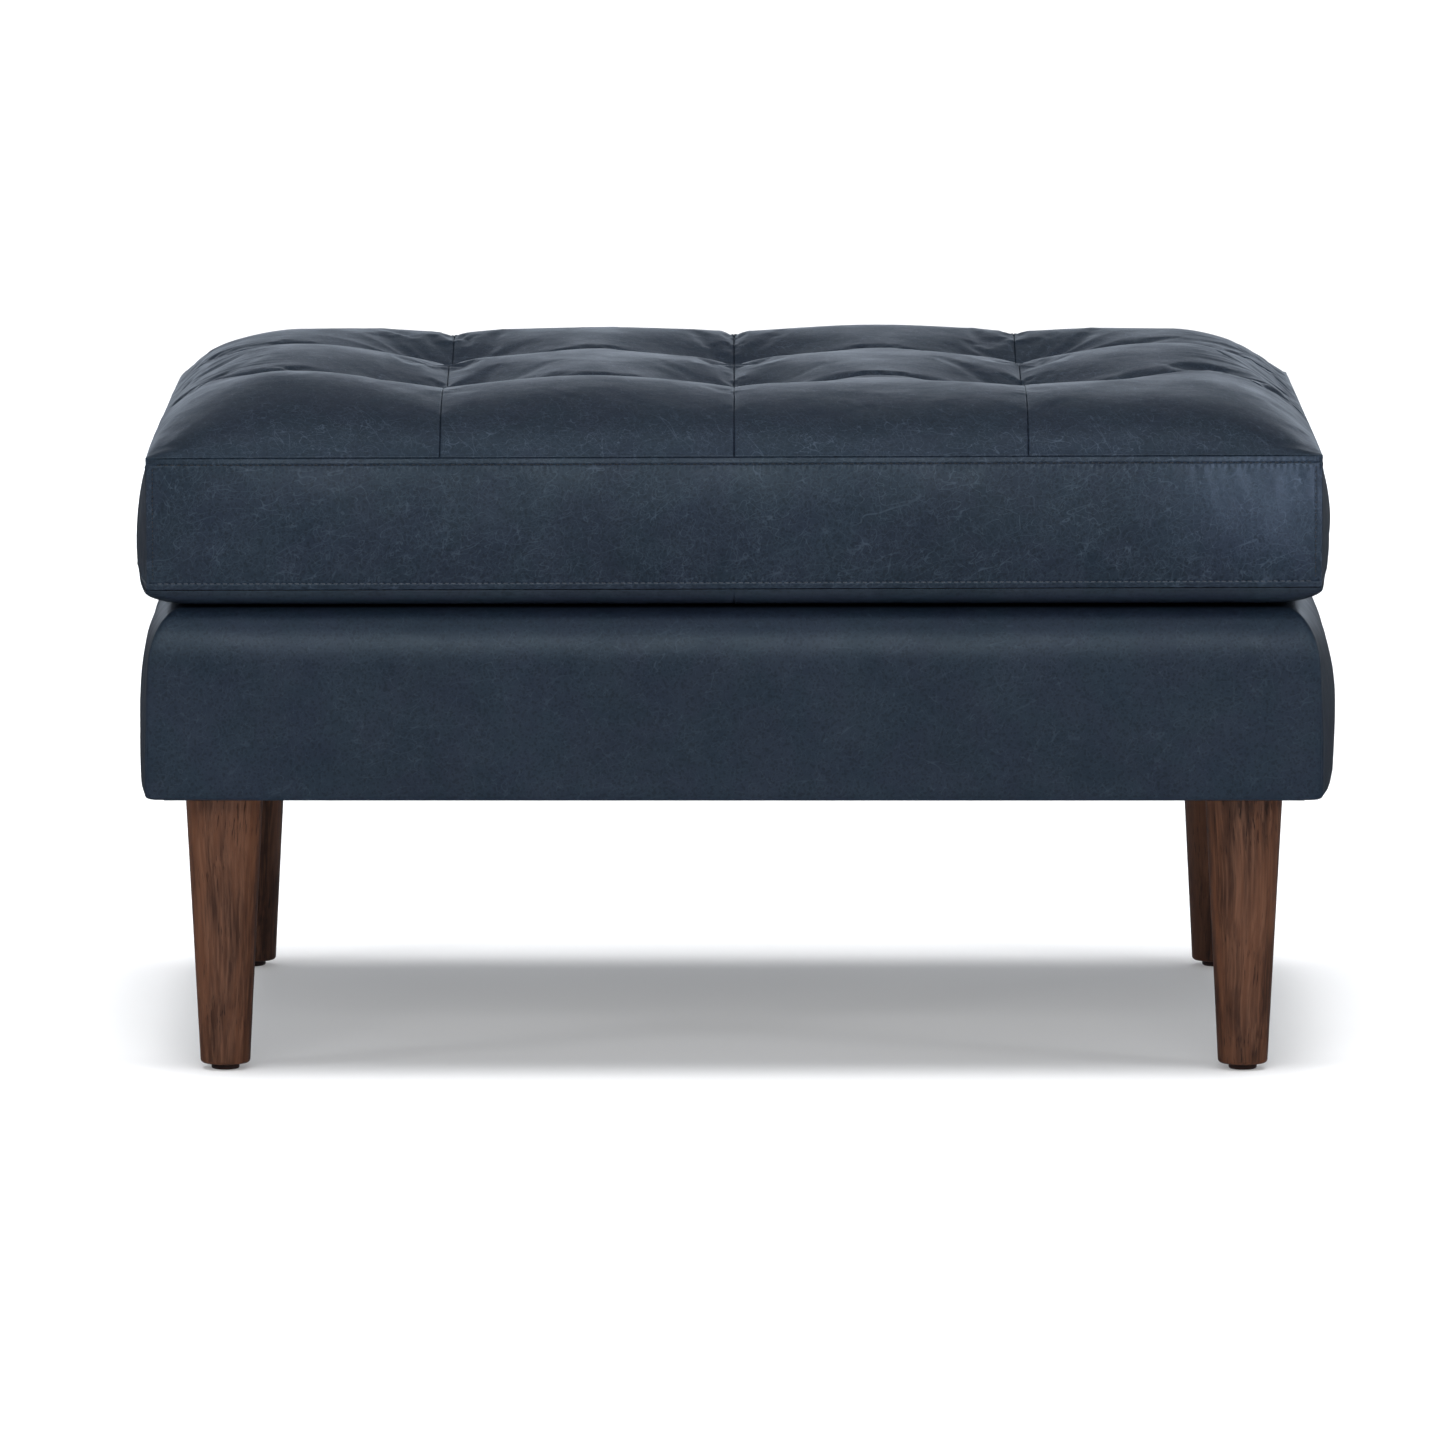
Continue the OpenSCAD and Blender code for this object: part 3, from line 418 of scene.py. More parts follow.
def smooth_step(x):
    x = np.clip(x, 0, 1)
    return x * x * (3 - 2 * x)


def tilt(x):
    """The loose cushion lies a little higher at its right end."""
    return 2.2 * MM * np.clip((x / HALF_W + 1) / 2, 0, 1.05) ** 1.2


def tilted(points, share=1.0):
    """Raises points by the cushion's tilt, or by a share of it."""
    points[..., 2] += tilt(points[..., 0]) * share
    return points


def rounded(s, r):
    """Drop of an edge of radius r at distance s from it."""
    return np.where(s < r, r - np.sqrt(np.maximum(r * r - (r - np.minimum(s, r)) ** 2, 0)), 0.0)


# Tufted top

LEFT_ROLL, RIGHT_ROLL, FRONT_ROLL, ROLL_POWER = 89 * MM, 86 * MM, 130 * MM, 1.72
VALLEY_POWER = 1.5
# Depths of the seams that run back, under the crowns: front row, middle row, rear row
COLUMN_DIP = (8.0, 11.5, 3.5)
ROW_DIP, TUFT_DIP, TUFT_WIDTH = 10.0, 14.0, 24 * MM
# Distances from the ends, and from the front and rear, over which the dips reach their full depth
FADE_X, FADE_Y = 136 * MM, 119 * MM
CROWN_MM = 42.8
# How much each panel's crown differs from the others, in millimetres, from the front row back
UNEVEN = np.array([[3.0, -1.8, -9.0, -6.8], [0.8, -9.5, -8.6, 1.0], [-0.8, -2.6, 0.2, -2.0]])
TUFTS = [(i * PANEL_W - HALF_W, j * PANEL_D - HALF_D) for i in range(1, COLUMNS) for j in range(1, ROWS)]


def edge_rise(d, r, slope=None):
    """Rise of the rolled edge; slope limits how steeply it leaves the seam."""
    rise = np.clip(1 - np.clip(1 - d / r, 0, 1) ** ROLL_POWER, 0, None) ** (1 / ROLL_POWER)
    if slope is None:
        return rise
    return rise / (1 + (rise / (slope * np.maximum(d, 1e-6) / (CROWN_MM * MM))) ** 4) ** 0.25


def top_height(x, y, tufts=1.0):
    """Height of the tufted top over its seam."""
    px, py = (x + HALF_W) / PANEL_W, (y + HALF_D) / PANEL_D
    i = np.clip(np.floor(px), 0, COLUMNS - 1).astype(int)
    j = np.clip(np.floor(py), 0, ROWS - 1).astype(int)
    in_x, in_y = np.abs(np.sin(math.pi * px)), np.abs(np.sin(math.pi * py))
    column = np.where((px < 0.5) | (px > COLUMNS - 0.5), 0, 1 - in_x ** VALLEY_POWER)
    row = np.where((py < 0.5) | (py > ROWS - 0.5), 0, 1 - in_y ** VALLEY_POWER)
    # The crowns are lower towards the rear
    crown = CROWN_MM - 8.8 * y - 15 * y * y + UNEVEN[j, i] * (in_x * in_y) ** 2
    fade_y = smooth_step((y + HALF_D) / FADE_Y) * smooth_step((HALF_D - y) / FADE_Y)
    fade_x = smooth_step((x + HALF_W) / FADE_X) * smooth_step((HALF_W - x) / FADE_X)
    dip = np.interp(y, (-HALF_D / 2, 0, HALF_D / 2), COLUMN_DIP) * fade_y
    h = crown - dip * column - ROW_DIP * fade_x * row
    for tx, ty in TUFTS:
        # The front row's tufts lie hidden behind the crest of the front puffs
        short = 2.4 if ty < 0 else 1.0
        near = np.hypot(x - tx, np.where(y < ty, short * (y - ty), y - ty))
        h = h - tufts * TUFT_DIP * np.exp(-near / TUFT_WIDTH)
    edge = edge_rise(x + HALF_W, LEFT_ROLL) * edge_rise(HALF_W - x, RIGHT_ROLL) ** 1.4 \
        * edge_rise(y + HALF_D, FRONT_ROLL, 1.35) * edge_rise(HALF_D - y, FRONT_ROLL, 1.35)
    return (edge * h + 0.5) * MM


def top_points(x, y, tufts=1.0):
    return np.stack([x, y, SEAM_TOP + top_height(x, y, tufts)], -1)


def simulate_top():
    """Cloth simulation of the leather over the filling: it starts a little too large, is held at the border
    and the tufts, weakly at the seams, and is pressed out from below. Returns how far each point moves."""
    cells, frames = 40, 20
    nx, ny = COLUMNS * cells + 1, ROWS * cells + 1
    x, y = np.meshgrid(np.linspace(-HALF_W, HALF_W, nx), np.linspace(-HALF_D, HALF_D, ny))
    start, rest = top_points(x, y), top_points(x, y, 0.0)
    o = new_object("cloth", start, grid_quads(ny, nx).tolist())
    o.shape_key_add(name="Basis")
    key = o.shape_key_add(name="rest")
    key.data.foreach_set("co", rest.reshape(-1).astype(np.float32))
    key.value = 0.0
    hold = np.zeros((ny, nx))
    hold[:, cells:-1:cells] = hold[cells:-1:cells, :] = 0.2
    hold[cells:-1:cells, cells:-1:cells] = 1
    hold[0] = hold[-1] = hold[:, 0] = hold[:, -1] = 1
    group = o.vertex_groups.new(name="hold")
    for w in (0.2, 1.0):
        group.add(np.flatnonzero(hold.ravel() == w).tolist(), w, "REPLACE")
    cloth = o.modifiers.new("cloth", "CLOTH")
    c = cloth.settings
    c.quality, c.mass, c.air_damping = 6, 0.2, 1.0
    c.tension_stiffness = c.compression_stiffness = 30
    c.shear_stiffness, c.bending_stiffness = 10, 0.4
    c.tension_damping = c.compression_damping = c.shear_damping = 5
    c.vertex_group_mass, c.rest_shape_key = "hold", key
    c.use_pressure, c.uniform_pressure_force = True, 1.6
    c.shrink_min = -0.009
    c.effector_weights.gravity = 0
    cloth.collision_settings.use_collision = cloth.collision_settings.use_self_collision = False
    scene.frame_start, scene.frame_end = 1, frames
    cloth.point_cache.frame_start, cloth.point_cache.frame_end = 1, frames
    for f in range(1, frames + 1):
        scene.frame_set(f)
    moved = o.evaluated_get(bpy.context.evaluated_depsgraph_get())
    co = np.empty(nx * ny * 3, np.float32)
    moved.data.vertices.foreach_get("co", co)
    bpy.data.objects.remove(o)
    scene.frame_set(1)
    return np.clip(co.reshape(ny, nx, 3) - start, -9 * MM, 9 * MM)


def resampling(at, n, half):
    """Weights that read n even samples from -half to half at other places, by cubic interpolation."""
    t = np.clip((at + half) / (2 * half) * (n - 1), 0, n - 1)
    i = np.clip(np.floor(t).astype(int), 0, n - 2)
    f = t - i
    out = np.zeros((len(t), n))
    cubic = ((-f + 2 * f**2 - f**3) / 2, (2 - 5 * f**2 + 3 * f**3) / 2, (f + 4 * f**2 - 3 * f**3) / 2,
             (-f**2 + f**3) / 2)
    for k, w in zip((-1, 0, 1, 2), cubic):
        np.add.at(out, (np.arange(len(t)), np.clip(i + k, 0, n - 1)), w)
    return out


DRAPE = simulate_top()


def draped_points(xs, ys):
    """The top's surface at places along X and Y, with the movement of the simulation where it was run."""
    x, y = np.meshgrid(xs, ys)
    p = top_points(x, y)
    if DRAPE is not None:
        ny, nx = DRAPE.shape[:2]
        moved = np.einsum("ab,bcd,ec->aed", resampling(ys, ny, HALF_D), DRAPE, resampling(xs, nx, HALF_W))
        corner = smooth_step((np.abs(x) - 0.26) / 0.07) * smooth_step((-y - 0.14) / 0.07)
        # The front face is stretched smooth, and so are the two front corners
        face = smooth_step((-0.098 - y) / 0.022)
        p = p + moved * (1 - np.maximum(0.6 * corner, 0.65 * face))[..., None]
    return x, y, p


def folds(x, y):
    """Folds that fan out from the outer tufts, fine ones down the ends, and waves beside the front seam."""
    total = np.zeros_like(x)
    for tx, ty in TUFTS:
        if abs(tx) < PANEL_W / 2:
            continue
        out, back = (x - tx) * np.sign(tx), y - ty
        r, angle = np.hypot(out, back), np.arctan2(back, out)
        fan = smooth_step((angle - 0.12) / 0.3) * smooth_step((1.35 - angle) / 0.3)
        reach = smooth_step((r - 0.010) / 0.022) * smooth_step((0.125 - r) / 0.075)
        phase = 24.0 * angle + 1.2 * np.sin(r / 0.021) + 3.0 * ty / PANEL_D
        total += (0.8 if ty > 0 else 0.1) * fan * reach * (1 - np.abs(np.sin(phase / 2)) ** 0.8)
    end = HALF_W - np.abs(x)
    down = smooth_step(end / 0.008) * smooth_step((0.105 - end) / 0.07) * smooth_step((y + 0.125) / 0.05)
    total += down * (0.15 * waves(x * 0.07, y, 8 * MM, 71) + 0.22 * waves(x * 0.07, y, 15 * MM, 72))
    near = y + HALF_D
    rim = smooth_step(near / 0.002) * np.exp(-near / 0.011) * (0.45 + 0.55 * smooth_step((x - 0.15) / 0.2))
    total += rim * 0.20 * waves(x, y * 0.2, 7 * MM, 73)
    return total * MM


# Distances of the samples beside the border and beside a seam between panels, in millimetres
BORDER = [0, 0.06, 0.2, 0.5, 1.0, 1.8, 3.0, 4.8, 7.2, 10.5, 14]
SEAM = [0, 0.12, 0.4, 0.9, 1.6, 2.4, 4.0, 6.5, 9.5]


def tufted_panel(i, j):
    x0, x1 = i * PANEL_W - HALF_W, (i + 1) * PANEL_W - HALF_W
    y0, y1 = j * PANEL_D - HALF_D, (j + 1) * PANEL_D - HALF_D
    xs = places(x0, x1, 2.2 * MM, BORDER if i == 0 else SEAM, BORDER if i == COLUMNS - 1 else SEAM)
    ys = places(y0, y1, 2.2 * MM, BORDER if j == 0 else SEAM, BORDER if j == ROWS - 1 else SEAM)
    x, y, base = draped_points(xs, ys)
    base[..., 2] += folds(x, y)
    n = normals_of(base)
    drop = np.zeros_like(x)
    for s, border in ((x - x0, i == 0), (x1 - x, i == COLUMNS - 1), (y - y0, j == 0),
                      (y1 - y, j == ROWS - 1)):
        drop = np.maximum(drop, rounded(s, (0.7 if border else 1.2) * MM))
    outer = tilted(base - n * (drop + 0.03 * MM)[..., None])
    inner = tilted(base - n * TOP_T)
    o = piece(f"top_{ROW_NAMES[j]}_{i + 1}", *shell(outer, inner), LEATHER, "cushion", "leather",
              [f"tuft_panel_{ROW_NAMES[j]}_{i + 1}"])


for i in range(COLUMNS):
    for j in range(ROWS):
        tufted_panel(i, j)


# Boxing

STITCH_PITCH = 4.35 * MM
STITCH_IN = 4.6 * MM
# Outward offset of a topstitched edge at distances from its seam, in millimetres, apart from the groove
LIP = [(0, -2.0), (0.25, -0.9), (0.6, 0.0), (1.0, 0.38), (1.6, 0.58), (2.4, 0.66), (3.2, 0.56), (3.9, 0.22),
       (5.2, -0.05), (5.8, 0.30), (6.8, 0.52), (8.5, 0.48), (11, 0.28), (15, 0.08), (20, 0), (1000, 0)]
LIP_LINES = sorted([p[0] for p in LIP[:-1]] + [STITCH_IN / MM])


def profile(table, s):
    """Offset at distance s, from a table in millimetres."""
    return np.interp(s / MM, [p[0] for p in table], [p[1] for p in table]) * MM


def lip(s, groove=-0.75):
    """Offset of a topstitched edge at distance s from its seam; groove is its depth under the stitches."""
    return profile(sorted(LIP + [(STITCH_IN / MM, groove)]), s)


# How far the lower seam of the right and left sides bows out, where the cushion sags over the base
SAG = {1: 9 * MM, 3: 13 * MM}
# How much more than the solid's the bow of each side is
LOP = {1: -0.5 * MM, 3: 1.5 * MM}


def side_sag(k, y):
    return SAG[k] * (1 - np.clip(np.abs(y) / HALF_D, 0, 1) ** 2.6)


def boxing_surface(k, x, z, detail=1.0):
    """Outer surface of the boxing on side k; x runs along the side, as it does on the front."""
    length, depth = side_half(k)
    bow = (FRONT_BOW, SIDE_BOW, 0.0, SIDE_BOW)[k]
    u = np.clip(x / length, -1, 1)
    v = (z - SEAM_LOW) / (SEAM_TOP - SEAM_LOW)
    belly = np.clip(1 - np.abs(2 * np.clip(v, 0, 1) ** 0.9 - 1) ** 2.2, 0, 1)
    out = bow * (1 - np.abs(u) ** (7 if k == 0 else 3)) * belly
    if k == 0:
        # A soft swelling near the right end of the front
        swelling = np.exp(-((x - 0.348) / 0.030) ** 2 - ((v - 0.3) / 0.45) ** 2)
        out = out + 2.0 * MM * swelling * belly ** 0.5
    if k in SAG:
        sag = side_sag(k, x)
        out = sag * (1 - v ** 1.5) + (bow + LOP[k] - SAG[k]) * belly * (1 - np.abs(u) ** 3) * (1 - 0.35 * v)
    s_top, s_low, s_end = SEAM_TOP - z, z - SEAM_LOW, length - np.abs(x)
    end = lip(s_end, -0.35) if k in (0, 2) else -rounded(s_end, 1.6 * MM)
    edge = np.minimum(np.minimum(lip(s_top, -0.55), lip(s_low)), end)
    both = np.minimum(s_top, s_low)
    below = both - STITCH_IN
    # The leather is drawn in between the stitches, and puckers on the far side of their row
    phase = np.cos(2 * math.pi * x / STITCH_PITCH)
    drawn = 0.14 * MM * phase * np.exp(-((both - 2.4 * MM) / (1.3 * MM)) ** 2)
    drawn = drawn + 0.42 * MM * phase * np.exp(-((below - 1.4 * MM) / (1.1 * MM)) ** 2)
    strong = 0.5 + 0.5 * smooth_step((x / length - 0.2) / 0.6)
    pucker = (waves(x, z * 0.25, 7 * MM, 11 + k) * 0.13 + waves(x, z * 0.3, 15 * MM, 21 + k) * 0.20) * MM
    pucker = pucker * strong * smooth_step(below / (3 * MM)) * np.exp(-np.clip(below, 0, None) / (13 * MM))
    soft = waves(x, z, 95 * MM, 31 + k) * 0.45 * MM * belly
    soft = soft + waves(x, z, 38 * MM, 41 + k) * 0.10 * MM * belly
    out = out + (edge + drawn + pucker + soft) * detail
    return tilted(turn(np.stack([x, -depth - out, z], -1), k))


def boxing_panel(k):
    length = side_half(k)[0]
    count = int(round(2 * length / (STITCH_PITCH / 4)))
    ends = LIP_LINES[:10] if k in (0, 2) else [0, 0.1, 0.35, 0.8, 1.6, 3.0]
    xs = places(-length, length, 2 * length / count, ends, ends)
    zs = places(SEAM_LOW, SEAM_TOP, 4 * MM, LIP_LINES, LIP_LINES)
    x, z = np.meshgrid(xs, zs)
    outer = boxing_surface(k, x, z)
    inner = boxing_surface(k, x, z, 0.0) + turn(np.array([0.0, SIDE_T, 0.0]), k)
    o = piece(f"side_{SIDES[k]}", *shell(outer, inner), LEATHER, "cushion", "leather",
              [f"boxing_{SIDES[k]}"])


for k in (0, 1, 3):
    boxing_panel(k)


# Stitches

def stitch_row(name, centres, along, out, thread=THREAD, length=3.0 * MM, radius=0.40 * MM):
    """Thread as it shows: one short rounded stitch at each centre, its ends sunk in the leather."""
    rings = np.array([-1.0, -0.82, -0.4, 0.4, 0.82, 1.0])
    radii = np.array([0.25, 0.75, 1.0, 1.0, 0.75, 0.25])
    sink = np.array([-0.9, -0.25, 0.15, 0.15, -0.25, -0.9])
    angles = np.arange(6) * math.pi / 3
    points, faces = [], []
    for c, a, o, w in zip(centres, along, out, np.cross(along, out)):
        faces += ring_faces(len(rings), len(angles), len(points))
        lean = a + 0.10 * w
        for r, d, s in zip(rings, radii, sink):
            mid = c + lean * r * length / 2 + o * s * radius
            points += [mid + (w * math.cos(t) + o * math.sin(t)) * d * radius for t in angles]
    piece(f"stitches_{name}", points, faces, thread, "cushion", "zip_tape", sharp=80)


def side_stitches(k, name, x, z, step_x, step_z, height, thread, *size):
    """Stitches on side k; the steps lead from each place towards the next."""
    along = boxing_surface(k, x + step_x, z + step_z) - boxing_surface(k, x - step_x, z - step_z)
    along /= np.linalg.norm(along, axis=1, keepdims=True)
    out = np.tile(turn(np.array([0.0, -1.0, 0.0]), k), (len(x), 1))
    stitch_row(name, boxing_surface(k, x, z) + out * height, along, out, thread, *size)


def boxing_stitches(k):
    n = 2 * int((side_half(k)[0] - 8 * MM) / STITCH_PITCH) + 1
    x = (np.arange(n) - (n - 1) / 2) * STITCH_PITCH
    # The top row uses the thread darkened with painted shade, for the groove it lies in; the low row uses
    # the thread's own colour
    for tag, z, height, thread in (("top", SEAM_TOP - STITCH_IN, 0.16 * MM, THREAD_PAINTED_SHADE),
                                   ("low", SEAM_LOW + STITCH_IN, 0.24 * MM, THREAD)):
        side_stitches(k, f"{SIDES[k]}_{tag}", x, np.full_like(x, z), 0.5 * MM, 0, height, thread)


def corner_stitches(end):
    """The upright row of stitches beside the seam at the left (-1) or right (1) end of the front."""
    pitch = 2.9 * MM
    n = int((SEAM_TOP - SEAM_LOW - 2 * STITCH_IN - 3 * MM) / pitch)
    z = (SEAM_TOP + SEAM_LOW) / 2 + (np.arange(n) - (n - 1) / 2) * pitch
    x = np.full_like(z, end * (HALF_W - STITCH_IN))
    name = "corner_front_left" if end < 0 else "corner_front_right"
    # This row uses the thread darkened with painted shade, as the top row does
    side_stitches(0, name, x, z, 0, 0.5 * MM, 0.12 * MM, THREAD_PAINTED_SHADE, 2.1 * MM, 0.34 * MM)


for k in (0, 1, 3):
    boxing_stitches(k)
for end in (-1, 1):
    corner_stitches(end)


# Cushion's bottom

# How far in from its edge the bottom is rounded, and how much higher the edge lies than the middle
UNDER_IN = 36 * MM
UNDER_LIFT = SEAM_LOW - 2 * MM - CUSHION_LOW


def bottom_panel(side):
    """Half of the cushion's bottom, left (-1) or right (1) of the seam in its middle."""
    near = [0, 0.1, 0.35, 0.9, 2, 4, 7, 11, 16, 22, 29, 36]
    xs = places(0, HALF_W, 9 * MM, [0, 0.15, 0.5, 1.0, 1.8, 4, 9], near)
    ys = places(-HALF_D, HALF_D, 9 * MM, near, near)
    x, y = np.meshgrid(xs, ys)

    def rise(d):
        return np.sqrt(np.maximum(1 - (1 - np.clip(d / UNDER_IN, 0, 1)) ** 2, 0))
    down = rise(HALF_W - x) * rise(HALF_D - np.abs(y))
    z = CUSHION_LOW + UNDER_LIFT * (1 - down) + rounded(x, 1.2 * MM)
    sag = side_sag(1 if side > 0 else 3, y) * smooth_step((x - 0.25) / (HALF_W - 0.25))
    outer = np.stack([(x + sag) * side, y, z], -1)
    outer, inner = (tilted(g, 1 - 0.5 * down) for g in (outer, outer + np.array([0, 0, UNDER_T])))
    if side > 0:
        outer, inner = outer[::-1], inner[::-1]
    name = "left" if side < 0 else "right"
    o = piece(f"bottom_{name}", *shell(outer, inner), LEATHER_UNDER, "cushion", "leather",
              [f"bottom_panel_{name}"])


bottom_panel(-1)
bottom_panel(1)


# Base covers

# Width and height of the rolled edge, width of the band on the deck and of the edge turned under the
# rails, and radius of the lower edge
ROLL_IN, ROLL_UP, BAND, TURN_UNDER, LOWER_ROUND = 20 * MM, 36 * MM, 92 * MM, 25 * MM, 4 * MM


def base_rows():
    """Section of the base's leather: inset, height, share of the bow, and how far up the roll it is."""
    rows = [(TURN_UNDER - 7 * MM * q, BASE_LOW, 0.0, 0.0) for q in range(3)]
    for a in np.linspace(0, math.pi / 2, 7):
        rows.append((LOWER_ROUND * (1 - math.sin(a)), BASE_LOW + LOWER_ROUND * (1 - math.cos(a)),
                     0.85 + 0.1 * a / 1.6, 0.0))
    low, high = BASE_LOW + LOWER_ROUND, DECK - ROLL_UP
    for q in np.linspace(0, 1, 22)[1:-1]:
        rows.append((0.0, low + q * (high - low), 0.95 + 0.05 * min(q * 3, 1), 0.0))
    for a in np.radians(np.linspace(0, 90, 19)):
        rows.append((ROLL_IN * (1 - math.cos(a)), high + ROLL_UP * math.sin(a), max(math.cos(a), 0) ** 0.8,
                     math.sin(a)))
    for q in np.linspace(0, 1, 12)[1:]:
        rows.append((ROLL_IN + q * (BAND - ROLL_IN), DECK, 0.0, 1.0))
    return np.array(rows)


# How far the corner seams bulge out along the front, with the ends
CORNER_OUT = 4.5 * MM


def base_surface(k, u, row, detail=1.0):
    """Outer surface of the base's leather on side k; u runs along the side from -1 to 1."""
    inset, z, share, _ = np.moveaxis(row, -1, 0)
    # The bow of the ends dies away towards the deck
    end_share = np.minimum(share, 1 - np.clip(1 - (DECK - z) / (80 * MM), 0, 1) ** 2)
    half, depth = side_half(k, BASE_W, BASE_D)
    if k % 2:
        bow = BASE_SIDE_BOW * (1.12 if k == 1 else 0.85)
        x = u * (half - inset)
        out = end_share * (CORNER_OUT + (bow - CORNER_OUT) * (1 - np.abs(u) ** 3))
    else:
        x = u * (half - inset + CORNER_OUT * end_share)
        out = share * BASE_FRONT_BOW * (1 - np.abs(u) ** 8)
    # Beside its seams the leather is drawn in, with a slight lip
    s = (1 - np.abs(u)) * half
    edge = 0.4 * MM * np.exp(-((s - 3.6 * MM) / (1.6 * MM)) ** 2) - rounded(s, 2.0 * MM)
    high = np.clip((z - BASE_LOW) / (DECK - BASE_LOW), 0, 1)
    uneven = waves(x, z, 120 * MM, 51 + k) * 0.35 + waves(x, z * 0.3, 26 * MM, 61 + k) * 0.10 \
        * np.sin(math.pi * high) ** 0.5
    upright = (inset < ROLL_IN * 0.98) & (z > BASE_LOW + 1 * MM)
    outward = np.where(upright, edge + detail * uneven * MM, 0)
    above = np.sign(z - BASE_LOW - 0.5 * (DECK - BASE_LOW))
    upward = np.where(upright, 0, -rounded(s, 2.0 * MM) * 0.6 * above)
    return turn(np.stack([x, inset - depth - out - outward, z + upward], -1), k)


def base_cover(k):
    rows = base_rows()
    half = side_half(k, BASE_W, BASE_D)[0]
    ends = [0, 0.12, 0.4, 0.9, 1.6, 3, 6, 11, 18, 28]
    us = places(-half, half, 7 * MM, ends, ends) / half
    u = np.tile(us, (len(rows), 1))
    row = np.tile(rows[:, None, :], (1, len(us), 1))
    base = base_surface(k, u, row, 0.0)
    inner = base - normals_of(base) * UNDER_T
    o = piece(f"base_cover_{SIDES[k]}", *shell(base_surface(k, u, row), inner), LEATHER_BASE, "base",
              "leather", [f"cover_{SIDES[k]}"])


for k in range(4):
    base_cover(k)


# Filling of the cushion

def topper():
    """Fibre between the foam and the tufted panels."""
    inset, near = 4 * MM, [0, 1, 3, 6, 10]
    x, y, p = draped_points(places(inset - HALF_W, HALF_W - inset, 8 * MM, near, near),
                            places(inset - HALF_D, HALF_D - inset, 8 * MM, near, near))
    under = p - normals_of(p) * 6 * MM
    under[..., 2] = np.maximum(under[..., 2] + waves(x, y, 24 * MM, 71) * 0.5 * MM, SEAM_TOP + 0.6 * MM)
    flat = under.copy()
    flat[..., 2] = SEAM_TOP
    o = piece("topper", *shell(tilted(under), tilted(flat)), FIBRE, "cushion", "fibre", ["fibre_topper"])


def rounded_loop(hx, hy, r):
    """Points round a rectangle with rounded corners: 6 in each corner and 14 along each side."""
    arcs = []
    for q, (sx, sy) in enumerate(((1, 1), (-1, 1), (-1, -1), (1, -1))):
        a = np.linspace(0, math.pi / 2, 6) + q * math.pi / 2
        arcs.append(np.stack([sx * (hx - r) + r * np.cos(a), sy * (hy - r) + r * np.sin(a)], -1))
    points = []
    for q, arc in enumerate(arcs):
        points += [arc, arc[-1] + np.linspace(0, 1, 16)[1:-1, None] * (arcs[(q + 1) % 4][0] - arc[-1])]
    return np.concatenate(points)


def foam_block(name, half_w, half_d, r, levels, body, solid):
    """Foam with rounded upright edges; levels are its heights and how far it is set in at each."""
    rings = []
    for z, inset in levels:
        loop = rounded_loop(half_w - inset, half_d - inset, r)
        uneven = waves(loop[:, 0], loop[:, 1], 120 * MM, 81) * 0.3 * MM / (half_w - inset)
        rings.append(np.column_stack([loop * (1 + uneven)[:, None], np.full(len(loop), z)]))
    points = np.concatenate(rings)
    if body == "cushion":
        tilted(points)
    faces = ring_faces(len(levels), len(rings[0]))
    o = piece(name, points, faces, FOAM, body, "foam", [solid], sharp=50)


topper()
foam_block("foam", HALF_W, HALF_D, 9 * MM,
           [(CUSHION_LOW + 2.4 * MM, 38 * MM), (CUSHION_LOW + 4 * MM, 28 * MM),
            (CUSHION_LOW + 8 * MM, 16 * MM), (SEAM_LOW + 2 * MM, 8 * MM), (SEAM_LOW + 40 * MM, 8 * MM),
            (SEAM_TOP - 5 * MM, 8 * MM), (SEAM_TOP - 1.5 * MM, 9.5 * MM), (SEAM_TOP - 0.1 * MM, 13 * MM)],
           "cushion", "foam_core")


def wrap():
    """Fibre between the foam and the boxing, one strip on each side."""
    strips = []
    for k in range(4):
        length, depth = side_half(k)
        x, z = np.meshgrid(np.linspace(-length + 5 * MM, length - 5 * MM, 60),
                           np.linspace(SEAM_LOW + 3 * MM, SEAM_TOP - 3 * MM, 12))
        outer = boxing_surface(k, x, z, 0.0) + turn(np.array([0.0, 3.2 * MM, 0.0]), k)
        wall = tilted(turn(np.stack([x, np.full_like(x, 7.8 * MM - depth), z], -1), k))
        fuzz = turn(np.stack([x * 0, waves(x, z, 18 * MM, 91 + k) * 0.25 * MM, x * 0], -1), k)
        strips.append(shell(outer + fuzz, wall))
    o = piece("wrap", *joined(strips), FIBRE, "cushion", "fibre", ["fibre_wrap"])


wrap()


def twine():
    """Each tie as two strands twisted together, from the tuft down to its button."""
    points, faces = [], []
    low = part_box("tuft_buttons")[1].z
    angles = np.arange(6) * math.pi / 3
    ring = np.stack([np.cos(angles), np.sin(angles), 0 * angles], -1) * 0.48 * MM
    for tx, ty in TUFTS:
        top = draped_points(np.array([tx]), np.array([ty]))[2]
        zs = np.linspace(low, top[0, 0, 2] + tilt(tx) - 3 * MM, 110)
        for strand in (0, math.pi):
            a = strand + (zs - low) / (7 * MM) * 2 * math.pi
            mid = np.stack([tx + 0.42 * MM * np.cos(a), ty + 0.42 * MM * np.sin(a), zs], -1)
            faces += ring_faces(len(zs), len(ring), len(points))
            points += (mid[:, None] + ring).reshape(-1, 3).tolist()
    piece("tuft_twine", points, faces, TWINE, "cushion", "twine", ["tuft_ties"])


twine()


# Rear boxing and zip

ZIP_LO, ZIP_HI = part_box("zip_tape")
ZIP_Z = (ZIP_LO.z + ZIP_HI.z) / 2
ZIP_HALF = (ZIP_HI.x - ZIP_LO.x) / 2
# Half of the gap between the two strips
ZIP_OPEN = 6.5 * MM
# Outward offset of a strip at distances from its edge at the zip, in millimetres
HEM = [(0, -1.8), (0.3, -0.6), (0.8, 0.1), (1.6, 0.42), (2.6, 0.5), (3.4, 0.35), (4.0, -0.15), (4.6, 0.05),
       (5.6, 0.2), (8, 0.1), (12, 0), (1000, 0)]


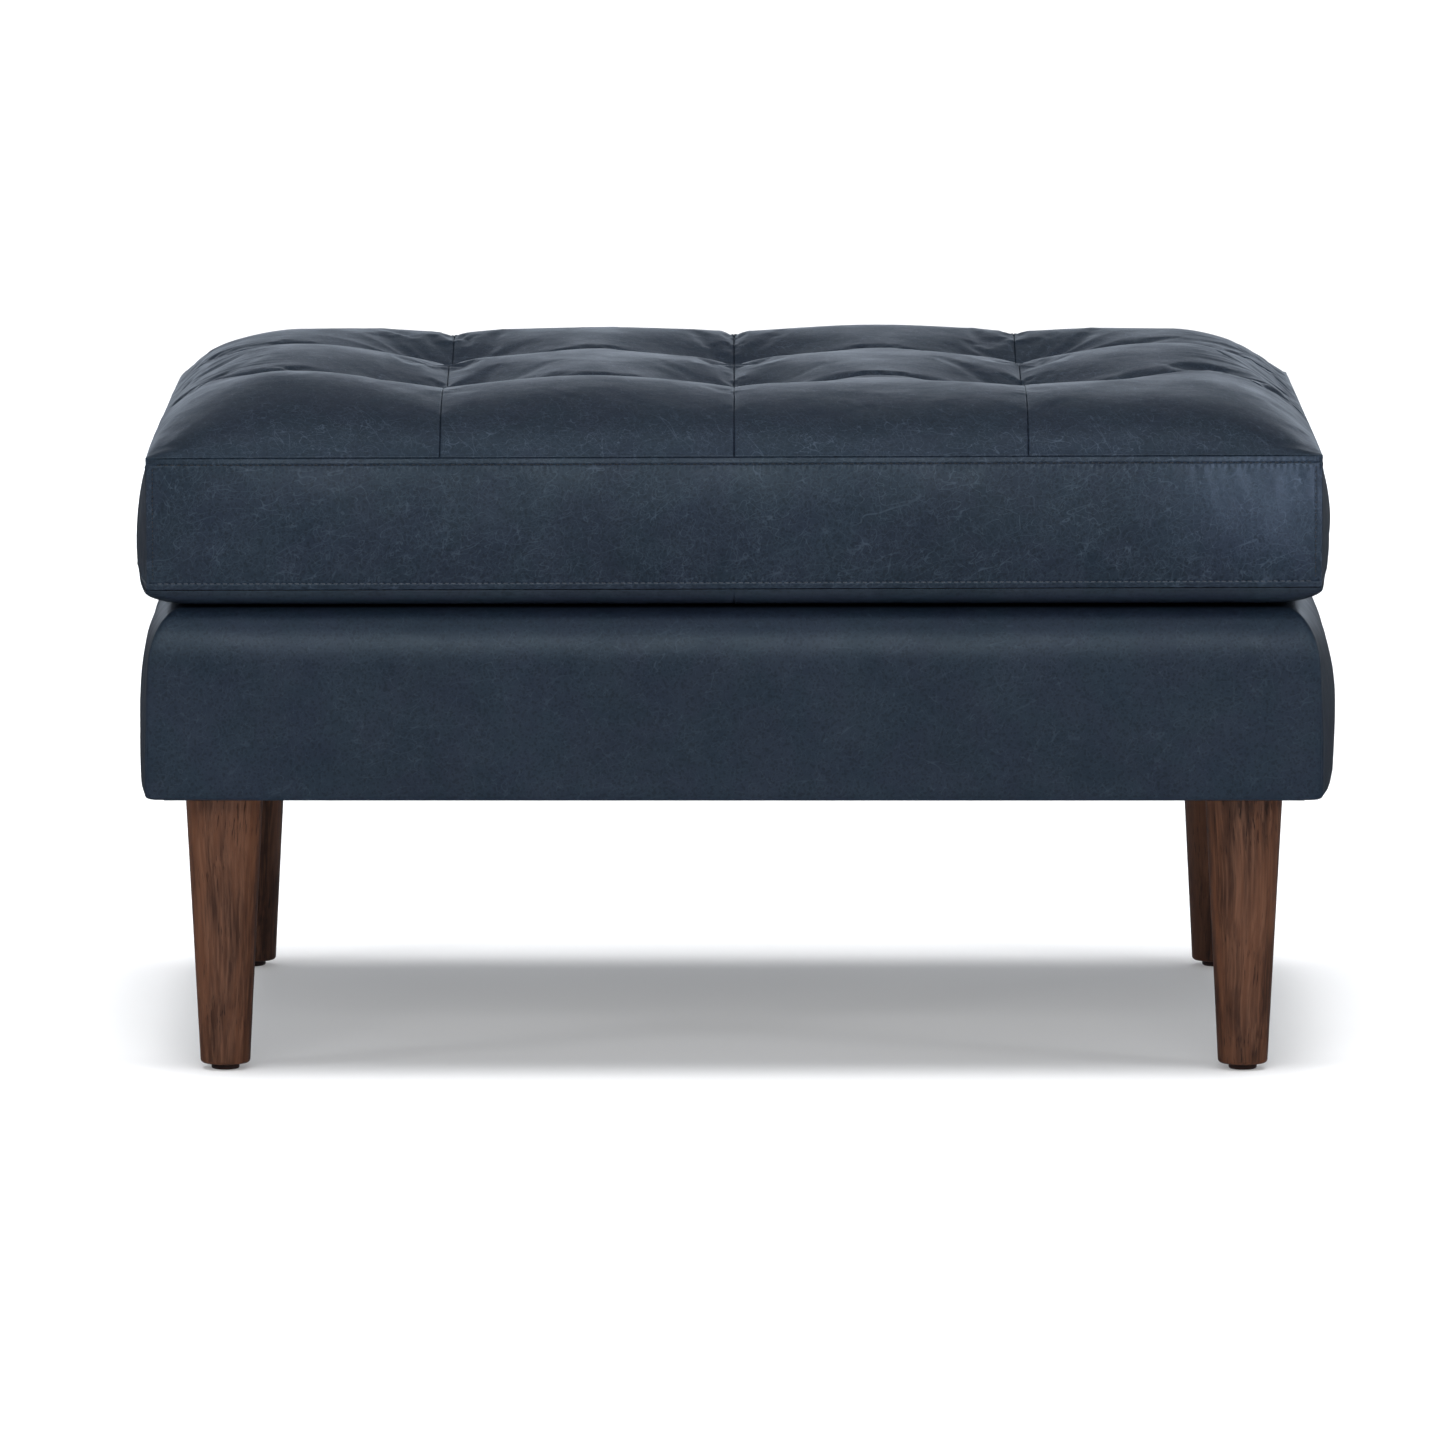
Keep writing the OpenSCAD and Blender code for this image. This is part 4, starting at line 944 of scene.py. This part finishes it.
def zip_open(x):
    """Distance of a strip's edge from the zip's middle; past the zip's ends the strips meet."""
    return ZIP_OPEN * (1 - smooth_step((np.abs(x) - ZIP_HALF + 3.6 * MM) / (3.0 * MM)))


def rear_surface(x, z, detail=1.0):
    p = boxing_surface(2, x, z, detail)
    s = np.clip(np.abs(z - ZIP_Z) - zip_open(x), 0, None)
    p[..., 1] += profile(HEM, s) * detail
    return p


def rear_strip(name, seam, side, node_name):
    """Strip of the rear boxing between the zip and a seam; side is -1 below the zip and 1 above it."""
    count = int(round(2 * HALF_W / (STITCH_PITCH / 2)))
    xs = places(-HALF_W, HALF_W, 2 * HALF_W / count, LIP_LINES[:10], LIP_LINES[:10])
    ends = np.arange(0.4, 4.4, 0.4) * MM - 3.8 * MM + ZIP_HALF
    xs = np.unique(np.round(np.concatenate([xs, ends, -ends]), 6))
    # Shares of the way from the zip's edge of the strip to its seam
    full = abs(seam - ZIP_Z) - ZIP_OPEN
    ts = places(0, full, 3 * MM, [h[0] for h in HEM[:-1]], LIP_LINES) / full
    x, t = np.meshgrid(xs, ts)
    gap = zip_open(x)
    z = ZIP_Z + side * (gap + t * (abs(seam - ZIP_Z) - gap))
    if side < 0:
        x, z = x[::-1], z[::-1]
    inner = rear_surface(x, z, 0.0) - np.array([0.0, STRIP_T, 0.0])
    piece(name, *shell(rear_surface(x, z), inner), LEATHER, "cushion", "leather", [node_name])
    n = int((2 * HALF_W - 16 * MM) / STITCH_PITCH)
    cx = (np.arange(n) - (n - 1) / 2) * STITCH_PITCH
    along, out = np.tile([-1.0, 0, 0], (n, 1)), np.tile([0, 1.0, 0], (n, 1))
    for tag, cz, height in (("hem", ZIP_Z + side * (ZIP_OPEN + 4.0 * MM), 0.2 * MM),
                            ("edge", seam - side * STITCH_IN, 0.22 * MM)):
        stitch_row(f"{name}_{tag}", rear_surface(cx, np.full_like(cx, cz)) + out * height, along, out)


rear_strip("rear_low", SEAM_LOW, -1, "boxing_rear_lower")
rear_strip("rear_high", SEAM_TOP, 1, "boxing_rear_upper")


def zip_and_teeth():
    y = HALF_D - 2.2 * MM
    tapes = []
    for side in (-1, 1):
        across = np.array([0.35, 0.7, 2.0, 5.0, 9.0, 14.5]) * MM
        x, z = np.meshgrid(np.linspace(-ZIP_HALF, ZIP_HALF, 180), across)
        wavy = waves(x, z, 60 * MM, 95 + side) * 0.12 * MM
        raised = 0.35 * MM * np.exp(-((z - 0.5 * MM) / (0.6 * MM)) ** 2)
        front = np.stack([x, y + wavy + raised, ZIP_Z + side * z + tilt(x)], -1)[:, ::-side]
        tapes.append(shell(front, front - np.array([0, 0.7 * MM, 0])))
    piece("zip_tapes", *joined(tapes), ZIP_TAPE, "cushion", "zip_tape", ["zip_tape"])
    # Coil teeth, alternately from either tape
    tooth = np.array([[-0.62, 0.1, -2.3], [0.62, 0.1, -2.3], [0.62, 1.05, -2.0], [-0.62, 1.05, -2.0],
                      [-0.55, 0.1, 0.7], [0.55, 0.1, 0.7], [0.45, 1.25, 0.4], [-0.45, 1.25, 0.4]]) * MM
    quads = [[0, 3, 2, 1], [4, 5, 6, 7], [0, 1, 5, 4], [2, 3, 7, 6], [1, 2, 6, 5], [3, 0, 4, 7]]
    points, faces, pitch = [], [], 1.5 * MM
    count = int(2 * (ZIP_HALF - 4 * MM) / pitch)
    for n in range(count):
        sign = 1 if n % 2 else -1
        cx = (n - (count - 1) / 2) * pitch
        points += (tooth * [1, 1, sign] + [cx, y + 0.25 * MM, ZIP_Z + tilt(cx)]).tolist()
        faces += [[8 * n + v for v in q[::sign]] for q in quads]
    piece("zip_coil", points, faces, ZIP_METAL, "cushion", "zip_metal", smooth=False)


zip_and_teeth()


def pull_tab():
    """Flat pull that hangs from the slider."""
    lo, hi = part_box("zip_slider")
    cx, y0 = (lo.x + hi.x) / 2, hi.y
    outline = [(-2.2, 3.0), (2.2, 3.0), (2.6, 0), (3.4, -8), (4.0, -17), (3.4, -19.6), (1.6, -21),
               (-1.6, -21), (-3.4, -19.6), (-4.0, -17), (-3.4, -8), (-2.6, 0)]
    # Its bevelled outer face first, its back last
    points = []
    for grow, d in ((0.82, 1.2), (1.0, 0.9), (1.0, 0.3), (0.82, 0.0)):
        points += [(cx + px * grow * MM, y0 + (0.25 + d) * MM, ZIP_Z + (-9 + (pz + 9) * grow) * MM)
                   for px, pz in outline]
    piece("zip_pull", points, ring_faces(4, len(outline)), ZIP_METAL, "zip_slider", "zip_metal", sharp=35)
    # Bridge over the slider that the pull hangs from
    points = []
    path = [(-4.6, -0.2), (-4.2, 1.2), (-2.6, 2.2), (0, 2.5), (2.6, 2.2), (4.2, 1.2), (4.6, -0.2)]
    for px, d in path:
        wide, deep = (0.3, 1) if abs(px) < 3 else (1, 0.2)
        for a in np.arange(8) * math.pi / 4:
            off = 0.55 * MM * math.cos(a)
            points.append((cx + px * MM + off * wide, y0 + d * MM + off * deep,
                           ZIP_Z + 1.5 * MM * math.sin(a)))
    piece("zip_bridge", points, ring_faces(len(path), 8), ZIP_METAL, "zip_slider", "zip_metal")


pull_tab()


# Padding and webbing below

# How far the outer faces of the rails lie inside the leather's
RAIL_IN = 14 * MM
RAIL_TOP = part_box("rail_front")[1].z
PAD_LO, PAD_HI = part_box("deck_pad")


def base_pad(k):
    """Fibre on the outer face of a rail and over its top edge, under the leather."""
    rows = np.array([r for r in base_rows() if r[1] > BASE_LOW + 5 * MM and r[3] < 0.995])
    half, depth = side_half(k, BASE_W, BASE_D)
    u = np.tile(np.linspace(-1, 1, 70), (len(rows), 1))
    row = np.tile(rows[:, None, :], (1, u.shape[1], 1))
    base = base_surface(k, u * 0.995, row, 0.0)
    outer = base - normals_of(base) * 2.6 * MM
    inset = np.where(row[..., 1] < RAIL_TOP + 3 * MM, RAIL_IN, 22.5 * MM)
    wall_z = np.clip(row[..., 1], BASE_LOW + 3 * MM, DECK - 4 * MM)
    wall = turn(np.stack([u * (half - inset - 0.5 * MM), inset - depth, wall_z], -1), k)
    o = piece(f"rail_padding_{SIDES[k]}", *shell(outer, wall), FIBRE, "base", "fibre", [f"pad_{SIDES[k]}"])


for k in range(4):
    base_pad(k)
foam_block("deck_foam", PAD_HI.x, PAD_HI.y, 8 * MM,
           [(PAD_LO.z, 3 * MM), (PAD_LO.z + 1 * MM, 1 * MM), (PAD_LO.z + 4 * MM, 0), (PAD_HI.z - 6 * MM, 0),
            (PAD_HI.z - 2.1 * MM, 1.5 * MM), (PAD_HI.z - 0.9 * MM, 5 * MM)], "base", "deck_pad")


def cloth_panel(name, hx, hy, z, thick, material, slot, node_name, sag, holes=()):
    """A stretched cloth on the deck or under the frame; the cells round its holes are left out."""
    x, y = np.meshgrid(np.linspace(-hx, hx, 97), np.linspace(-hy, hy, 73))
    inner = np.clip((1 - (x / hx) ** 2) * (1 - (y / hy) ** 2), 0, 1)
    zz = z + sag * inner + waves(x, y, 70 * MM, 97) * 0.25 * MM * np.sqrt(inner)
    top, low = (np.stack([x, y, zz + side * thick / 2], -1).reshape(-1, 3) for side in (1, -1))
    quads = grid_quads(*x.shape)
    centre = top[quads].mean(1)
    for cx, cy, r in holes:
        far = np.hypot(centre[:, 0] - cx, centre[:, 1] - cy) > r
        quads, centre = quads[far], centre[far]
    # The rim is made of the edges that only one cell has
    edges = np.concatenate([quads[:, [a, (a + 1) % 4]] for a in range(4)]).tolist()
    back = {(b, a) for a, b in edges}
    rim = np.array([e for e in edges if tuple(e) not in back])
    n = x.size
    sides = np.stack([rim[:, 1], rim[:, 0], rim[:, 0] + n, rim[:, 1] + n], -1)
    used = np.unique(quads)
    both = np.concatenate([used, used + n])
    number = np.full(2 * n, -1)
    number[both] = np.arange(len(both))
    points = np.concatenate([top, low])[both]
    faces = (number[quads], number[(quads + n)[:, ::-1]], number[sides])
    o = piece(name, points, faces, material, "base", slot, [node_name])


leg_lo, leg_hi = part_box("leg_rear_right")
LEG_X, LEG_Y = (leg_lo.x + leg_hi.x) / 2, (leg_lo.y + leg_hi.y) / 2
cloth_panel("deck_cloth_panel", BASE_W - BAND + 9 * MM, BASE_D - BAND + 9 * MM, DECK - 2.7 * MM, 0.9 * MM,
            DECK_CLOTH, "deck_cloth", "deck_cloth", 0.5 * MM)
dust_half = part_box("dust_cover")[1]
cloth_panel("dust_cloth_panel", dust_half.x, dust_half.y, BASE_LOW - 0.45 * MM, 0.6 * MM, DUST_CLOTH,
            "dust_cloth", "dust_cover", -2.5 * MM,
            [(sx * LEG_X, sy * LEG_Y, 9 * MM) for sx in (-1, 1) for sy in (-1, 1)])


def straps(way, turned_by, count, other, half, spread, other_spread, first_over):
    """Woven elastic straps, count of them spread evenly, that pass over and under the other ones."""
    z0 = min(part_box(f"webbing_{way}")[0].z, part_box("webbing_along")[0].z) + 0.75 * MM
    w = np.array([-30, -29.6, -28.5, -20, -10, 0, 10, 20, 28.5, 29.6, 30]) * MM
    strips = []
    for n in range(count):
        y0 = (2 * n + 1 - count) * spread / count
        xs = np.linspace(-half, half, 150)
        z = np.zeros_like(xs)
        for m in range(other):
            if (n + m) % 2 == first_over:
                c = (2 * m + 1 - other) * other_spread / other
                z = np.maximum(z, 1.5 * MM * smooth_step((36 * MM - np.abs(xs - c)) / (8 * MM)))
        x, ww = np.meshgrid(xs, w)
        thick = np.interp(np.abs(ww) / MM, [0, 28.5, 29.6, 30], [0.7, 0.7, 0.5, 0.15]) * MM
        strips.append(shell(*(turn(np.stack([x, y0 + ww, z0 + z + side * thick], -1), turned_by)
                              for side in (1, -1))))
    piece(f"straps_{way}", *joined(strips), WEBBING, "base", "webbing", [f"webbing_{way}"])


# Half sizes of the opening that the straps are spread over
inner_w, inner_d = BASE_W - 34 * MM, BASE_D - 34 * MM
straps("along", 0, 3, 5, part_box("webbing_along")[1].x, inner_d, inner_w, 1)
straps("across", 1, 5, 3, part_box("webbing_across")[1].y, inner_w, inner_d, 0)


# Materials of the solids

FINISH = {
    WALNUT: ["leg_"], POPLAR: ["rail_", "centre_rail", "corner_block_"], BEECH: ["dowels"],
    STEEL: ["frame_screws", "staples", "hanger_bolts", "tee_nuts", "glide_nails"],
    GLIDE: ["glides"], BUTTON: ["tuft_buttons"], ZIP_METAL: ["zip_slider"],
}
for material, starts in FINISH.items():
    for name, o in NODES.items():
        if name.startswith(tuple(starts)):
            for s in o.material_slots:
                s.material = material

# Camera, floor and lights

# The camera is fitted to the photograph: feet, base's edge, seams and tufts
cam = bpy.data.objects.new("camera", bpy.data.cameras.new("camera"))
cam.data.lens, cam.data.sensor_width = 336.2, 36.0
cam.location = (-0.0015, -9.241, 1.299)
cam.rotation_euler = (math.radians(83.24), 0, math.radians(0.04))
cam.data.clip_end = 200
scene.collection.objects.link(cam)
scene.camera = cam

floor = new_object("floor", [(-60, -60, 0), (60, -60, 0), (60, 60, 0), (-60, 60, 0)], [(0, 1, 2, 3)])
fm, ft, fb = new_material("floor")
set_inputs(ft, fb, {"Base Color": (0.93, 0.93, 0.93, 1), "Roughness": 0.9, "Specular IOR Level": 0.0})
floor.data.materials.append(fm)
floor.visible_glossy = False


# Colour of the light from behind, a little colder than white
COLD = (0.86, 0.97, 1.12)


def light(name, kind, energy, where, aim=(0, 0, 0.3), size=None, colour=(1, 1, 1), angle=None):
    data = bpy.data.lights.new(name, kind)
    data.energy, data.color = energy, colour
    if size:
        data.shape, data.size, data.size_y = "RECTANGLE", size[0], size[1]
    if angle:
        data.angle = math.radians(angle)
    o = bpy.data.objects.new(name, data)
    o.location = where
    o.rotation_euler = (Vector(aim) - Vector(where)).to_track_quat("-Z", "Y").to_euler()
    o.visible_camera = False
    scene.collection.objects.link(o)
    return o


# The floor has lights of its own, so that it stays pale whatever lights the leather: a wide sun that casts
# the soft shadow, and a weaker one without shadows that keeps the shadow from going black
only_floor = bpy.data.collections.new("only_floor")
only_floor.objects.link(floor)
sun = light("floor_light", "SUN", 2.7, (0, -0.1, 6), (0, 0, 0), angle=44)
sun.light_linking.receiver_collection = only_floor
fill = light("floor_fill", "SUN", 0.66, (0, 0, 6), (0, 0, 0))
fill.data.use_shadow = False
fill.light_linking.receiver_collection = only_floor
light("front_box", "AREA", 56, (-0.3, -4.2, 2.2), size=(3.6, 0.9))
light("back_box", "AREA", 31, (0.0, 4.5, 1.25), size=(5.0, 1.4), colour=COLD)
light("high_box", "AREA", 6, (0.0, 3.6, 2.9), size=(5.0, 1.9), colour=COLD)
light("right_box", "AREA", 15, (3.4, -2.0, 1.4), size=(0.6, 1.2))
# A soft spot on the right end of the cushion's front only
cushion_front = bpy.data.collections.new("cushion_front")
for o in scene.objects:
    if o.name.startswith(("side_front", "stitches_front", "stitches_corner_front")):
        cushion_front.objects.link(o)
spot = light("front_spot", "SPOT", 210, (1.75, -4.0, 0.80), (0.350, -0.3, 0.405), colour=(0.93, 0.96, 1.2))
spot.data.spot_size, spot.data.spot_blend, spot.data.shadow_soft_size = math.radians(2.2), 1.0, 0.03
spot.light_linking.receiver_collection = cushion_front
light("right_back_box", "AREA", 8, (3.4, 2.8, 1.1), size=(0.8, 1.6))
light("left_back_box", "AREA", 5, (-3.4, 2.8, 1.1), size=(0.8, 1.6))
light("left_box", "AREA", 15, (-3.4, -2.2, 1.6), size=(0.6, 1.2))
light("top_box", "AREA", 16, (0, -0.6, 3.2), size=(3.0, 2.2), colour=(0.92, 0.98, 1.06))

world = bpy.data.worlds.new("studio")
scene.world = world
world.use_nodes = True
wt = world.node_tree
background = wt.nodes["Background"]
wz = node(wt, "SeparateXYZ", {0: node(wt, "TexCoord").outputs["Generated"]}).outputs[2]
sky = node(wt, "ValToRGB", {0: remap(wt, wz, -0.2, 1.0)})
sky.color_ramp.elements[0].color = (0.05, 0.055, 0.065, 1)
sky.color_ramp.elements[1].color = (0.20, 0.21, 0.23, 1)
wt.links.new(sky.outputs[0], background.inputs[0])
background.inputs[1].default_value = 1.0
scene.view_settings.view_transform = "Standard"
